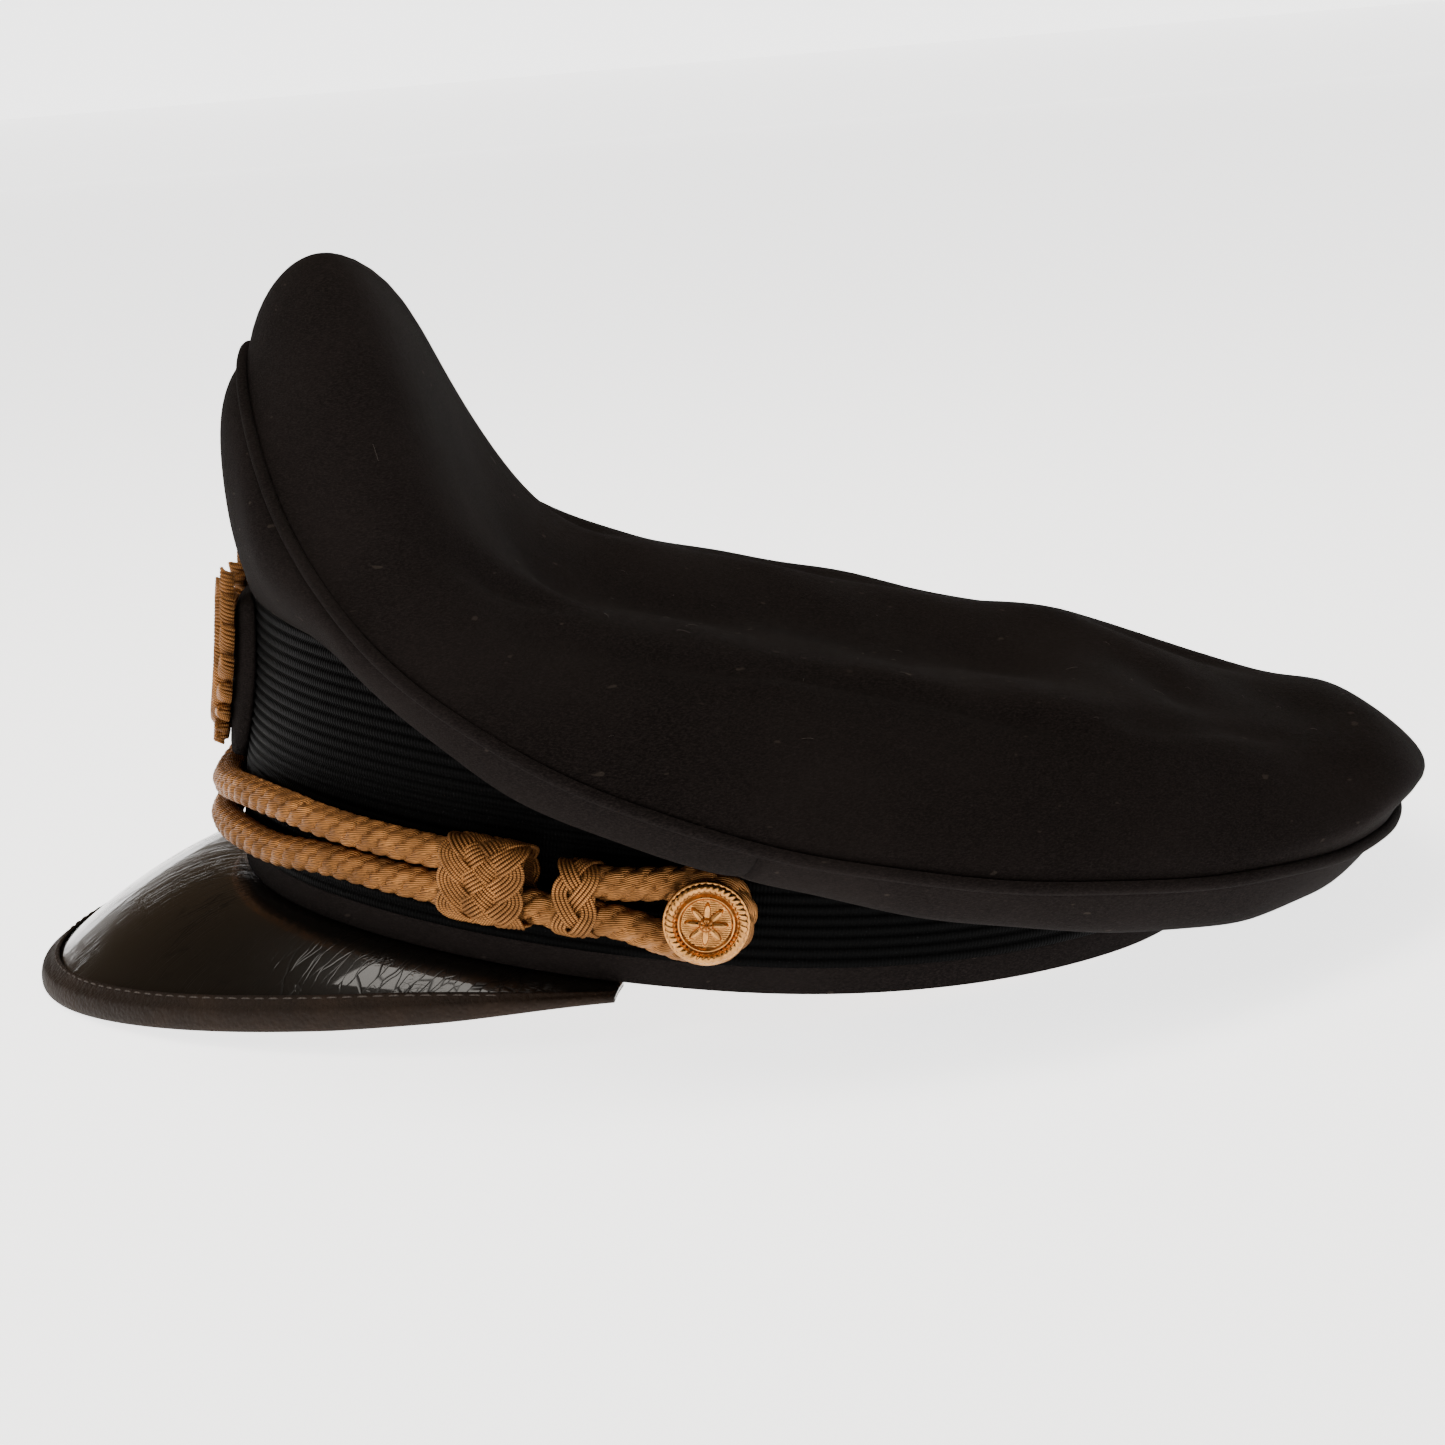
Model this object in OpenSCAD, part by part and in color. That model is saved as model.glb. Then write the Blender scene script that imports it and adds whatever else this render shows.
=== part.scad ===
// Military peaked cap: crushed high-front cloth crown, ribbed band, patent visor,
// twin chin cords with slide knots, turning side buttons and a front wreath badge.
// Cap axes while drawing: +X wearer's left, -Y front, +Z up along the band.
// Every piece is then tipped by rest_tilt so the cap stands on visor and back.

/* [Head size] */
// Half the outside length of the band, front to back
band_half_length = 103.5; // [88:0.5:124]
// Half the outside width of the band
band_half_width = 85.5; // [72:0.5:102]
// Front and back curve of the band as a share of its half width
band_end_ratio = 0.8655; // [0.8:0.005:0.95]

/* [Band] */
// Height of the top of the band at the front centre
band_top_front = 58; // [48:1:68]
// Height of the top of the band at the back centre
band_top_back = 42; // [35:1:50]
// How far the bottom edge curves up at the back centre
band_back_rise = 7.1; // [0:0.1:9]
// Height of the plain cloth strip below the ribbed braid
base_strip = 5.6; // [4:0.1:7]
// Thickness of the ribbed braid
braid_thickness = 1.2; // [0.8:0.1:1.6]
// Thickness of the stiff foundation inside the band
foundation_thickness = 0.9; // [0.6:0.1:1.2]
// Thickness of the leather sweatband
sweatband_thickness = 0.9; // [0.6:0.1:1.4]
// Height of the sweatband at the front
sweatband_height = 40; // [32:1:44]

/* [Crown] */
// How far the crown edge stands in front of the band
overhang_front = 3; // [2:0.5:8]
// How far the crown edge stands behind the band
overhang_back = 37.5; // [30:0.5:46]
// How far the crown edge stands out at each side
overhang_side = 28.5; // [20:0.5:35]
// How far the back of the top rolls out over the crown edge
back_roll = 12; // [6:0.5:16]
// Height of the crown edge at the back
edge_height_back = 30; // [26:0.5:36]
// Height of the crown edge at the front above its height at the back
edge_rise_front = 77; // [60:0.5:95]
// Height of the crown top over the middle of the head
top_height = 60.6; // [58:0.2:72]
// Height of the front peak above the sloping top
peak_height = 67.5; // [44:0.5:72]
// How far the cloth sags below the crown edge at the sides
cloth_sag = 8.5; // [5:0.5:11]
// How much further it sags at the back
back_sag = 5; // [0:0.5:6]
// Thickness of the crown cloth
cloth_thickness = 1.5; // [1:0.1:2]
// Diameter of the corded welt around the crown edge
welt_diameter = 2; // [1.4:0.1:3]

/* [Visor] */
// Reach of the visor in front of the band
visor_reach = 41.5; // [34:0.5:50]
// Drop of the visor edge below the band
visor_drop = 27.5; // [22:0.5:33]
// Width of the leather binding on the visor edge
binding_width = 4.8; // [3.5:0.1:6]

/* [Chin cord] */
// Diameter of one chin cord
cord_diameter = 6.8; // [5.8:0.1:7.2]
// Height of the middle of the cord pair inside the slide knots
cord_height = 18.35; // [17:0.1:20]
// Length of a slide knot along the cord
slide_length = 18; // [17:0.1:22]
// Height of a slide knot
slide_height = 17.6; // [16.8:0.1:20]
// Distance of a slide knot's middle in front of the band's middle
slide_forward = 46; // [45:0.5:50]
// Length of a keeper knot along the cord
keeper_length = 9; // [8:0.1:11]

/* [Side buttons] */
// Diameter of a side button
button_diameter = 16.5; // [14:0.1:18]
// Height of a side button above the band edge
button_height = 16.6; // [15.5:0.1:18]
// Diameter of a button shank
shank_diameter = 3; // [2.4:0.1:3.4]

/* [Badge] */
// Width of the badge backing around the band
badge_width = 46; // [42:0.5:54]
// Lowest point of the badge
badge_bottom = 21.5; // [21:0.5:26]
// Highest point of the badge
badge_top = 64; // [58:0.5:66]

/* [Hidden] */
$fn = 96;
// running clearance of a cord in a knot's bore
knot_clear = 0.25;
// gap between two glued layers, and between two stitched edges in degrees round the band
ply_gap = 0.15;
seam_gap = 0.12;
// thickness of the visor's board and of its lining
visor_board = 1.3;
visor_ply = 0.65;
lining_thickness = 0.5;
// height of the crown top's lowest ring above the edge line
edge_lift = 0.6;
// free gap between a slide knot and its keeper knot
knot_gap = 4;
a = band_half_length;
b = band_half_width;
end_r = band_end_ratio * b;
end_c = a - end_r;
side_r = (b * b - end_r * end_r + end_c * end_c) / (2 * (b - end_r));
side_c = side_r - b;
turn = end_c / (side_r - end_r);
turn_y = end_c + end_r * turn;
top_mid = (band_top_front + band_top_back) / 2;
top_slope = (band_top_front - band_top_back) / 2 / a;
rise_r = a * a / (2 * band_back_rise + 0.001);
crown_c = 14 / 103.5 * a;
crown_f = a + overhang_front + crown_c;
crown_b = a + overhang_back - crown_c;
crown_w = b + overhang_side;
corner_y = -16;
visor_l = a + visor_reach + corner_y;
visor_w = b + 2;
cloth_in = braid_thickness + 0.05;
found_out = braid_thickness + 0.8;
found_in = found_out + foundation_thickness;
sweat_out = found_in + 2.7;
sweat_in = sweat_out + sweatband_thickness;
cr = cord_diameter / 2;
pitch_c = cord_diameter + 0.3;
run_off = cr + 1.5;
run_r = side_r + run_off;
keep_mid = slide_forward - slide_length / 2 - knot_gap - keeper_length / 2;
keep_h = cord_height - 0.7;
loop_r = cr + 3;
button_y = -4.2;
eyelet_hole = shank_diameter + 2.7;
slide_a = asin(slide_forward / run_r);
slide_span = slide_length / run_r * 180 / PI;
keep_a = asin(keep_mid / run_r);
keep_span = keeper_length / run_r * 180 / PI;
button_x = -side_c + sqrt(pow(side_r, 2) - pow(button_y, 2));
button_back = button_x + 2 * cr + 1.2;
tip_y = corner_y - visor_l - 0.4;
tip_z = -0.7 - visor_drop - 2.5;
rest_tilt = atan((band_back_rise - tip_z) / (a - tip_y));
tilt_z = a * sin(rest_tilt) - band_back_rise * cos(rest_tilt);
mid_y = 0.5 * (tip_y * cos(rest_tilt) + tip_z * sin(rest_tilt)
        + (a + overhang_back + 7.3) * cos(rest_tilt) + (edge_height_back + 8) * sin(rest_tilt));

// ---------- small helpers ----------
function sgn(v) = v < 0 ? -1 : 1;
function ease(x) = let (t = min(1, max(0, x))) t * t * (3 - 2 * t);
function unit(v) = v / max(norm(v), 0.000001);
function lerp(p, q, t) = p + (q - p) * t;
function flat(l) = [for (r = l) for (p = r) p];

// outside line of the band; an is the outward direction, 0 at the back, 90 wearer's left
function oval(an, off) =
    let (s = sin(an), c = cos(an))
    abs(c) < turn
        ? [sgn(s) * -side_c + (side_r + off) * s, (side_r + off) * c]
        : [(end_r + off) * s, sgn(c) * end_c + (end_r + off) * c];
function band_bottom(y) = y > 0 ? rise_r - sqrt(rise_r * rise_r - y * y) : 0;
function band_top(y) = top_mid - top_slope * y;

// solid between two matching grids of points
module shell(o, i, closed) {
    n = len(o);
    m = len(o[0]);
    last = closed ? n - 1 : n - 2;
    pts = concat(flat(o), flat(i));
    k = n * m;
    faces = concat(
        [for (x = [0:last]) for (y = [0:m - 2]) let (p = x * m + y, q = ((x + 1) % n) * m + y)
            each [[p, q, q + 1], [p, q + 1, p + 1],
                [k + p, k + q + 1, k + q], [k + p, k + p + 1, k + q + 1]]],
        [for (x = [0:last]) let (p = x * m, q = ((x + 1) % n) * m)
            each [[p, k + p, k + q], [p, k + q, q],
                [p + m - 1, k + q + m - 1, k + p + m - 1], [p + m - 1, q + m - 1, k + q + m - 1]]],
        closed ? [] : [for (y = [0:m - 2]) let (z = (n - 1) * m)
            each [[y, y + 1, k + y + 1], [y, k + y + 1, k + y],
                [z + y, k + z + y + 1, z + y + 1], [z + y, k + z + y, k + z + y + 1]]]);
    polyhedron(pts, faces, convexity = 8);
}

// closed rings lofted one after another, both ends closed by a fan; each patch is folded along its shorter diagonal,
// so the two faces of a thin skin fold the same way
module loft(rings, c0, c1) {
    n = len(rings);
    m = len(rings[0]);
    pts = concat(flat(rings), [c0, c1]);
    faces = concat(
        [for (x = [0:n - 2]) for (y = [0:m - 1])
            let (p = x * m + y,
                r = x * m + (y + 1) % m,
                same = norm(pts[p] - pts[r + m]) < norm(pts[r] - pts[p + m]))
            each same ? [[p, r, r + m], [p, r + m, p + m]] : [[p, r, p + m], [r, r + m, p + m]]],
        [for (y = [0:m - 1]) each [[n * m, (y + 1) % m, y],
            [n * m + 1, (n - 1) * m + y, (n - 1) * m + (y + 1) % m]]]);
    polyhedron(pts, faces, convexity = 8);
}

// endless loft, ring after ring back to the first
module ring_loft(rings) {
    n = len(rings);
    m = len(rings[0]);
    faces = [for (x = [0:n - 1]) for (y = [0:m - 1])
        let (y1 = (y + 1) % m, x1 = ((x + 1) % n) * m, p = x * m + y, r = x * m + y1)
        each [[p, r, x1 + y1], [p, x1 + y1, x1 + y]]];
    polyhedron(flat(rings), faces, convexity = 8);
}

// round section at c, along t, with n the outward direction
function disc(c, t, n, r, k) =
    let (tt = unit(t), nn = unit(n - tt * (n * tt)), bb = cross(nn, tt))
    [for (j = [0:k - 1]) c + r * (cos(360 * j / k) * nn + sin(360 * j / k) * bb)];

module tube(path, out, r, k) {
    n = len(path);
    rings = [for (i = [0:n - 1]) disc(path[i],
        path[min(n - 1, i + 1)] - path[max(0, i - 1)], out[i], r, k)];
    loft(rings, path[0], path[n - 1]);
}
module endless_tube(path, out, r, k) {
    n = len(path);
    ring_loft([for (i = [0:n - 1]) disc(path[i],
        path[(i + 1) % n] - path[(i + n - 1) % n], out[i], r, k)]);
}

// ---------- band ----------
module oval_area(off) {
    intersection() {
        translate([-side_c, 0]) circle(r = side_r + off, $fn = 240);
        translate([side_c, 0]) circle(r = side_r + off, $fn = 240);
        square([3 * b, 2 * turn_y], center = true);
    }
    translate([0, end_c]) circle(r = end_r + off, $fn = 160);
    translate([0, -end_c]) circle(r = end_r + off, $fn = 160);
}
// wall between two offsets of the band line, cut by the curved bottom raised by up
module wall(out, in, up, top) {
    intersection() {
        difference() {
            linear_extrude(height = 120) oval_area(-out);
            translate([0, 0, -1]) linear_extrude(height = 122) oval_area(-in);
        }
        // all above the flat front edge and above the curved back edge
        union() {
            translate([-200, -200, up]) cube([400, 200, 130]);
            translate([-200, 0, rise_r + up]) rotate([0, 90, 0]) cylinder(r = rise_r, h = 400, $fn = 360);
        }
        rotate([-atan(top_slope), 0, 0]) translate([-200, -200, -200])
            cube([400, 400, 200 + top * cos(atan(top_slope))]);
    }
}
module button_holes() {
    for (s = [-1, 1]) translate([s * (b - 15), button_y, button_height])
        rotate([0, s * 90, 0]) cylinder(d = eyelet_hole, h = 40);
}

module ribbed_braid_band() color([0.035, 0.032, 0.035]) difference() {
    wall(0, braid_thickness, base_strip, top_mid);
    button_holes();
}
module band_cloth() color([0.03, 0.03, 0.045]) difference() {
    wall(cloth_in, cloth_in + 0.7, 0, top_mid);
    button_holes();
}
module band_foundation() color([0.36, 0.28, 0.2]) difference() {
    wall(found_out, found_in, 0.6, top_mid - 0.4);
    button_holes();
}
module sweatband() color([0.42, 0.25, 0.14]) difference() {
    wall(sweat_out, sweat_in, 2.3, top_mid - (band_top_front - sweatband_height));
    translate([-1.5, 0, -1]) cube([3, 2 * a, 100]);
}
module band_edge_reed() color([0.16, 0.1, 0.07]) {
    an = [for (i = [0:71]) i * 5];
    off = -(sweat_out + sweat_in) / 2;
    endless_tube([for (t = an) let (p = oval(t, off)) [p[0], p[1], band_bottom(p[1]) + 1.1]],
        [for (t = an) [sin(t), cos(t), 0]], 0.9, 6);
}
module sweatband_bow() color([0.05, 0.05, 0.05])
    translate([0, a - sweat_in - 1.3, band_back_rise + 24]) rotate([90, 0, 0]) {
    for (s = [-1, 1]) difference() {
        translate([s * 5.2, 0, -0.9]) cylinder(d = 7.6, h = 1.8);
        translate([s * 5.4, 0, -1]) cylinder(d = 5, h = 2);
    }
    translate([-1.7, -1.8, -1]) cube([3.4, 3.6, 2]);
    for (s = [-1, 1]) rotate([0, 0, s * 24]) translate([-1.1, -12, -0.5]) cube([2.2, 11, 0.8]);
}

// ---------- crown ----------
function near_front(an) = (1 - cos(an)) / 2;
function edge_z(an) = let (x = near_front(an))
    edge_height_back + edge_rise_front * (0.618 * pow(x, 3.2) + 0.382 * pow(x, 14));
function edge_plan(an, off) = let (
        d = [crown_w * sin(an), (cos(an) > 0 ? crown_b : crown_f) * cos(an)],
        n = unit([sin(an) / crown_w, cos(an) / (cos(an) > 0 ? crown_b : crown_f)]))
    [d[0] + off * n[0], crown_c + d[1] + off * n[1]];
// height of the top along its middle: a gentle fall to the back, the front peak and two back ridges
function top_line(y) = let (u = y * 103.5 / a)
    top_height - 0.11 * u
    + peak_height / (1 + exp((u + 67.5) / 9))
    + 1.6 * exp(-pow((u - 80) / 20, 2))
    + 6.5 * exp(-pow((u - 137) / 12, 2));
// height of the crown top before it rolls over at the edge; y0 is y before the back roll
function top_field(x, y, y0, ez) = let (
        lim = y0 > crown_c ? crown_b : crown_f,
        half = crown_w * sqrt(max(0, 1 - pow((y0 - crown_c) / lim, 2))),
        q = min(1, abs(x) / lerp(crown_w, half, 0.65)),
        behind_peak = ease((y * 103.5 / a + 78) / 52),
        c = top_line(y),
        hollow = 5 * (1 - ease(abs(x) / 48)) * (1 - ease((y - 50) / 40)),
        shoulder = 13.5 * pow(max(0, q - 0.44) / 0.56, 1.7),
        peak_side = 0.95 * max(0, c - ez) * pow(min(1, abs(x) / max(1, half)), 2.4))
    c - behind_peak * (hollow + shoulder) - (1 - behind_peak) * peak_side;
function roll(s) = pow(max(0, 1 - pow(s, 8)), 0.6);
// point of the crown top at the angle an and the share s of the way out, depth below its face
function top_pt(an, s, depth) = let (
        e = edge_plan(an, -depth * pow(s, 8)),
        x = s * e[0],
        y0 = crown_c + s * (e[1] - crown_c),
        y = y0 + back_roll * pow(max(0, cos(an)), 1.5) * sin(180 * pow(s, 12)),
        ez = edge_z(an) + edge_lift,
        least = 2.5 - 220 * max(0, 0.93 - s),
        rise = max(least, top_field(x, y, y0, ez) - ez))
    [x, y, ez + (rise - depth) * roll(s)];
top_steps = [0.12, 0.26, 0.4, 0.52, 0.63, 0.72, 0.8, 0.87, 0.93, 0.97, 0.99, 1];
// closed skin between two depths below the crown's outer face, over the rings up to steps' last
module skin(outer_depth, inner_depth, steps) {
    n = 64;
    an = [for (i = [0:n - 1]) -i * 360 / n];
    o = [for (s = steps) [for (t = an) top_pt(t, s, outer_depth)]];
    i = [for (k = [len(steps) - 1:-1:0]) [for (t = an) top_pt(t, steps[k], inner_depth)]];
    loft(concat(o, i), top_pt(0, 0, outer_depth), top_pt(0, 0, inner_depth));
}
lining_depth = cloth_thickness + 1.4;
shield_depth = lining_depth + lining_thickness + 0.5;
module crown_top() color([0.03, 0.03, 0.05]) skin(0, cloth_thickness, top_steps);
module crown_lining() color([0.45, 0.36, 0.24])
    skin(lining_depth, lining_depth + lining_thickness, [for (s = top_steps) if (s < 0.95) s]);
// clear oval patch under the middle of the lining
module sweat_shield() color([0.75, 0.72, 0.62, 0.6])
    skin(shield_depth, shield_depth + 0.4, [for (s = top_steps) if (s < 0.5) s]);

// side cloth: from the top of the band out, down and up again to the crown edge
function q_mix(an) = 1 - ease((abs(((an + 180) % 360 + 360) % 360 - 180) - 115) / 38);
function q_start(an) = let (p = oval(an, 0.9)) [p[0], p[1], band_top(p[1])];
function q_end(an) = let (p = edge_plan(an, 0)) [p[0], p[1], edge_z(an)];
function q_ctl(an) = let (
        s = q_start(an), w = q_end(an), g = q_mix(an),
        low = w[2] - cloth_sag - back_sag * ease(1.4 * cos(an)),
        kz = low - sqrt(max(0, (s[2] - low) * (w[2] - low))),
        side = lerp(s, w, 0.62),
        f = edge_plan(an, 11),
        fz = lerp(s[2], w[2], 0.8))
    [lerp(f[0], side[0], g), lerp(f[1], side[1], g), lerp(fz, kz, g)];
function q_raw(an, t) = let (s = q_start(an), k = q_ctl(an), w = q_end(an))
    (1 - t) * (1 - t) * s + 2 * t * (1 - t) * k + t * t * w;
function q_pt(an, t, depth) = let (
        p = q_raw(an, t),
        along = q_raw(an, t + 0.01) - q_raw(an, t - 0.01),
        around = q_raw(an + 0.5, t) - q_raw(an - 0.5, t),
        n = unit(cross(along, around)))
    p - depth * n;
// share of the way from the band to the edge where the cloth is turned under at the welt
function q_turn(an, f) = 0.02 + f * (0.88 + 0.083 * q_mix(an));
seam_a = 94.5;
quarter_thickness = cloth_thickness - 0.1;
module quarter(from, to, n) {
    an = [for (i = [0:n]) from + (to - from) * i / n];
    face = function (depth) [for (t = an) [for (j = [0:9]) q_pt(t, q_turn(t, j / 9), depth)]];
    shell(face(0), face(quarter_thickness), false);
}
module crown_quarter_front_left() color([0.03, 0.03, 0.045])
    quarter(seam_a + seam_gap, 180 - seam_gap, 16);
module crown_quarter_front_right() color([0.03, 0.03, 0.045])
    quarter(180 + seam_gap, 360 - seam_a - seam_gap, 16);
module crown_quarter_back_left() color([0.03, 0.03, 0.045])
    quarter(seam_gap, seam_a - seam_gap, 16);
module crown_quarter_back_right() color([0.03, 0.03, 0.045])
    quarter(360 - seam_a + seam_gap, 360 - seam_gap, 16);
module crown_edge_welt() color([0.04, 0.04, 0.05]) {
    an = [for (i = [0:71]) i * 5];
    off = welt_diameter / 2 + 0.25;
    endless_tube([for (t = an) let (p = edge_plan(t, off)) [p[0], p[1], edge_z(t) + 0.2]],
        [for (t = an) [sin(t), cos(t), 0]], welt_diameter / 2, 8);
}
function wire_pt(t) = let (p = edge_plan(t, -4.6)) [p[0], p[1], edge_z(t) - 0.5];
module crown_wire() color([0.6, 0.6, 0.62]) {
    an = [for (i = [0:70]) 2.4 + i * (355.2 / 70)];
    tube([for (t = an) wire_pt(t)], [for (t = an) [sin(t), cos(t), 0]], 0.9, 6);
}
module crown_wire_sleeve() color([0.72, 0.58, 0.25]) {
    an = [for (i = [0:8]) -6 + i * 1.5];
    sides = 12;
    ring = function (t, r)
        disc(wire_pt(t), wire_pt(t + 0.5) - wire_pt(t - 0.5), [sin(t), cos(t), 0], r, sides);
    outer = [for (t = an) ring(t, 1.5)];
    bore = [for (t = an) ring(t, 1.1)];
    shell([for (j = [0:sides - 1]) [for (r = outer) r[j]]],
        [for (j = [0:sides - 1]) [for (r = bore) r[j]]], true);
}
// lining strip on the inside of the side cloth, held clear of the stay at the front
module side_lining() color([0.45, 0.36, 0.24]) {
    an = [for (i = [0:71]) i * 5];
    depth = function (t) quarter_thickness + lerp(2.8, 0.3, q_mix(t));
    face = function (more) [for (t = an) [for (j = [0:6]) q_pt(t, 0.07 + 0.125 * j, depth(t) + more)]];
    shell(face(0), face(lining_thickness), true);
}
front_ts = [for (j = [0:6]) 0.1 + j * 0.125];
stiffener_depth = quarter_thickness + 0.25;
module front_stiffener() color([0.55, 0.5, 0.38]) {
    face = function (depth) [for (i = [0:10]) [for (j = front_ts) q_pt(158 + i * 4.4, j, depth)]];
    shell(face(stiffener_depth), face(stiffener_depth + 1), false);
}
module front_stay() color([0.5, 0.5, 0.52]) {
    foot = -a + found_in + 0.4;
    up = [for (j = front_ts) let (p = q_pt(180, j, stiffener_depth + 1.4)) [p[1], p[2]]];
    line = concat([[foot, 12], [foot, band_top_front + 0.8]], up);
    shell([for (x = [4, -4]) [for (p = line) [x, p[0], p[1]]]],
        [for (x = [4, -4]) [for (p = line) [x, p[0] + 0.5, p[1]]]], false);
}

// ---------- visor ----------
function v_in(t, off) = oval(180 - t * (90 - asin(-corner_y / side_r)) / 90, off);
function v_out(t) = [visor_w * sin(t), corner_y - visor_l * cos(t),
    -0.7 - visor_drop * pow(max(0, cos(t)), 1.15)];
// layers thin out towards the two corners, where the visor is sewn in
function v_thin(t) = 0.55 + 0.45 * min(1, 2.2 * cos(t));
// point on the visor, s from the band at 0 to the edge at 1, drop below its upper face
function v_pt(t, s, drop) = let (i = v_in(t, 0.2), o = v_out(t))
    [lerp(i[0], o[0], s), lerp(i[1], o[1], s), lerp(-0.25, o[2], pow(s, 1.6)) - drop * v_thin(t)];
// point on the part of the visor that turns in behind the band
function v_tuck(t, in, z) = let (p = v_in(t, -found_in - in)) [p[0], p[1], z];
v_ang = [for (i = [0:40]) -88 + 4.4 * i];
v_steps = [0, 0.1, 0.22, 0.36, 0.5, 0.64, 0.77, 0.89, 0.985];
lining_top = visor_board + ply_gap;
tuck_height = 6;
module visor_shell() color([0.02, 0.02, 0.022]) {
    upper = [for (t = v_ang) concat([v_tuck(t, 0.2, tuck_height), v_tuck(t, 0.2, -0.25)],
        [for (s = v_steps) v_pt(t, s, 0)])];
    lower = [for (t = v_ang) concat(
        [v_tuck(t, 1.2, tuck_height), v_tuck(t, 1.2, -0.25 - visor_board * v_thin(t))],
        [for (s = v_steps) v_pt(t, s, visor_board)])];
    shell(upper, lower, false);
}
module visor_lining() color([0.2, 0.13, 0.08]) {
    face = function (drop) [for (t = v_ang) concat([v_tuck(t, 0.8, -0.25 - drop * v_thin(t))],
        [for (s = [0, 0.14, 0.3, 0.46, 0.62, 0.78, 0.9, 0.985]) v_pt(t, s, drop)])];
    shell(face(lining_top), face(lining_top + visor_ply), false);
}
// the binding is folded over the visor's edge: its outer and inner faces at the angle t
function bind_faces(t) = let (
        o = v_out(t),
        i = v_in(t, 0.2),
        reach = norm([o[0] - i[0], o[1] - i[1]]),
        out = unit([o[0] - i[0], o[1] - i[1], 0]),
        s0 = 1 - min(binding_width, 0.8 * reach) / reach,
        s1 = s0 + 0.8 / max(reach, 4),
        k = reach / norm([reach, 1.6 * o[2]]),
        top = 0.2,
        low = (lining_top + visor_ply) * v_thin(t) + 0.25,
        skin = 0.7 * v_thin(t) / max(k, 0.6),
        up = function (z) [0, 0, z])
    [[v_pt(t, s0, 0) + up(top + skin), v_pt(t, (s0 + 1) / 2, 0) + up(top + skin),
        o + 0.2 * out + up(top + skin), o + 0.9 * out + up(top), o + 1.1 * out - up(low / 2),
        o + 0.9 * out - up(low), o + 0.2 * out - up(low + skin),
        v_pt(t, s1, 0) - up(low + skin)],
    [v_pt(t, s0, 0) + up(top), v_pt(t, (s0 + 1) / 2, 0) + up(top),
        o + 0.2 * out + up(top), o + 0.35 * out + up(top / 2), o + 0.4 * out - up(low / 2),
        o + 0.35 * out - up(low - 0.05), o + 0.2 * out - up(low),
        v_pt(t, s1, 0) - up(low)]];
module visor_binding() color([0.1, 0.07, 0.055]) {
    faces = [for (t = v_ang) bind_faces(t)];
    shell([for (f = faces) f[0]], [for (f = faces) f[1]], false);
}

// ---------- chin cord ----------
function on_side(y, off, z) = [-side_c + sqrt(pow(side_r + off, 2) - y * y), y, z];
run_end = (side_r + run_off) * sin(38);
tail_end = slide_forward + slide_length / 2 - 2.4;
// running cord from its tail in the keeper knot round the button to the front and on
// to the far slide knot; up = 1 runs on top, up = -1 runs below
function cord_path(up) = let (
        kz = [keep_h - up * pitch_c / 2, keep_h + up * pitch_c / 2],
        rz = cord_height + up * pitch_c / 2,
        y0 = -keep_mid - keeper_length / 2 + 1.2,
        y1 = -keep_mid + keeper_length / 2,
        y2 = -keep_mid - keeper_length / 2)
    concat(
        [for (i = [0:2]) on_side(lerp(y0, y1, i / 2), run_off, kz[0])],
        [for (i = [1:5]) let (f = i / 5, z = button_height - up * loop_r)
            on_side(lerp(y1, button_y, f), lerp(run_off, cr + 0.9, ease(f)), lerp(kz[0], z, ease(f)))],
        [for (i = [1:11]) let (g = -up * (90 - 15 * i))
            on_side(button_y + loop_r * cos(g), cr + 0.9, button_height + loop_r * sin(g))],
        [for (i = [0:4]) let (f = 1 - i / 5, z = button_height + up * loop_r)
            on_side(lerp(y1, button_y, f), lerp(run_off, cr + 0.9, ease(f)), lerp(kz[1], z, ease(f)))],
        [for (i = [0:2]) on_side(lerp(y1, y2, i / 2), run_off, kz[1])],
        [for (i = [1:10]) on_side(lerp(y2, -run_end, i / 10), run_off, rz)],
        [for (i = [1:25]) front_pt(52 - 4 * i, up)],
        [for (i = [0:7]) let (p = on_side(lerp(-run_end, -tail_end, i / 7), run_off, rz))
            [-p[0], p[1], p[2]]]);
function front_pt(d, up) = let (
        e = abs(d), p = oval(180 - d, lerp(cr + 0.3, run_off, ease((e - 30) / 22))),
        mid = cord_height - 5.8 + 4.0 * ease(e / 35) + 1.8 * ease((e - 30) / 22),
        half = pitch_c / 2 + 1.3 * (ease(e / 36) - ease((e - 38) / 14)))
    [p[0], p[1], mid + up * half];
function cord_out(p) = abs(p[1]) < turn_y
    ? unit([p[0] + sgn(p[0]) * side_c, p[1], 0]) : unit([p[0], p[1] + end_c, 0]);
module chin_cord_lower() color([0.62, 0.4, 0.2]) {
    path = cord_path(-1);
    tube(path, [for (p = path) cord_out(p)], cr, 10);
}
module chin_cord_upper() color([0.62, 0.4, 0.2]) mirror([1, 0, 0]) {
    path = cord_path(1);
    tube(path, [for (p = path) cord_out(p)], cr, 10);
}
// rounded box section lo..hi high, in..out wide
module section(in, out, lo, hi, r) {
    translate([in + r, lo]) square([out - in - 2 * r, hi - lo]);
    translate([in, lo + r]) square([out - in, hi - lo - 2 * r]);
    for (x = [in + r, out - r], y = [lo + r, hi - r]) translate([x, y]) circle(r = r, $fn = 48);
}
// piece of a knot turned about the side arc's middle, seen from the left side
module arc(mid, span) {
    translate([-side_c, 0, 0]) rotate([0, 0, -mid - span / 2])
        rotate_extrude(angle = span, $fn = 360) children();
}
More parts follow.
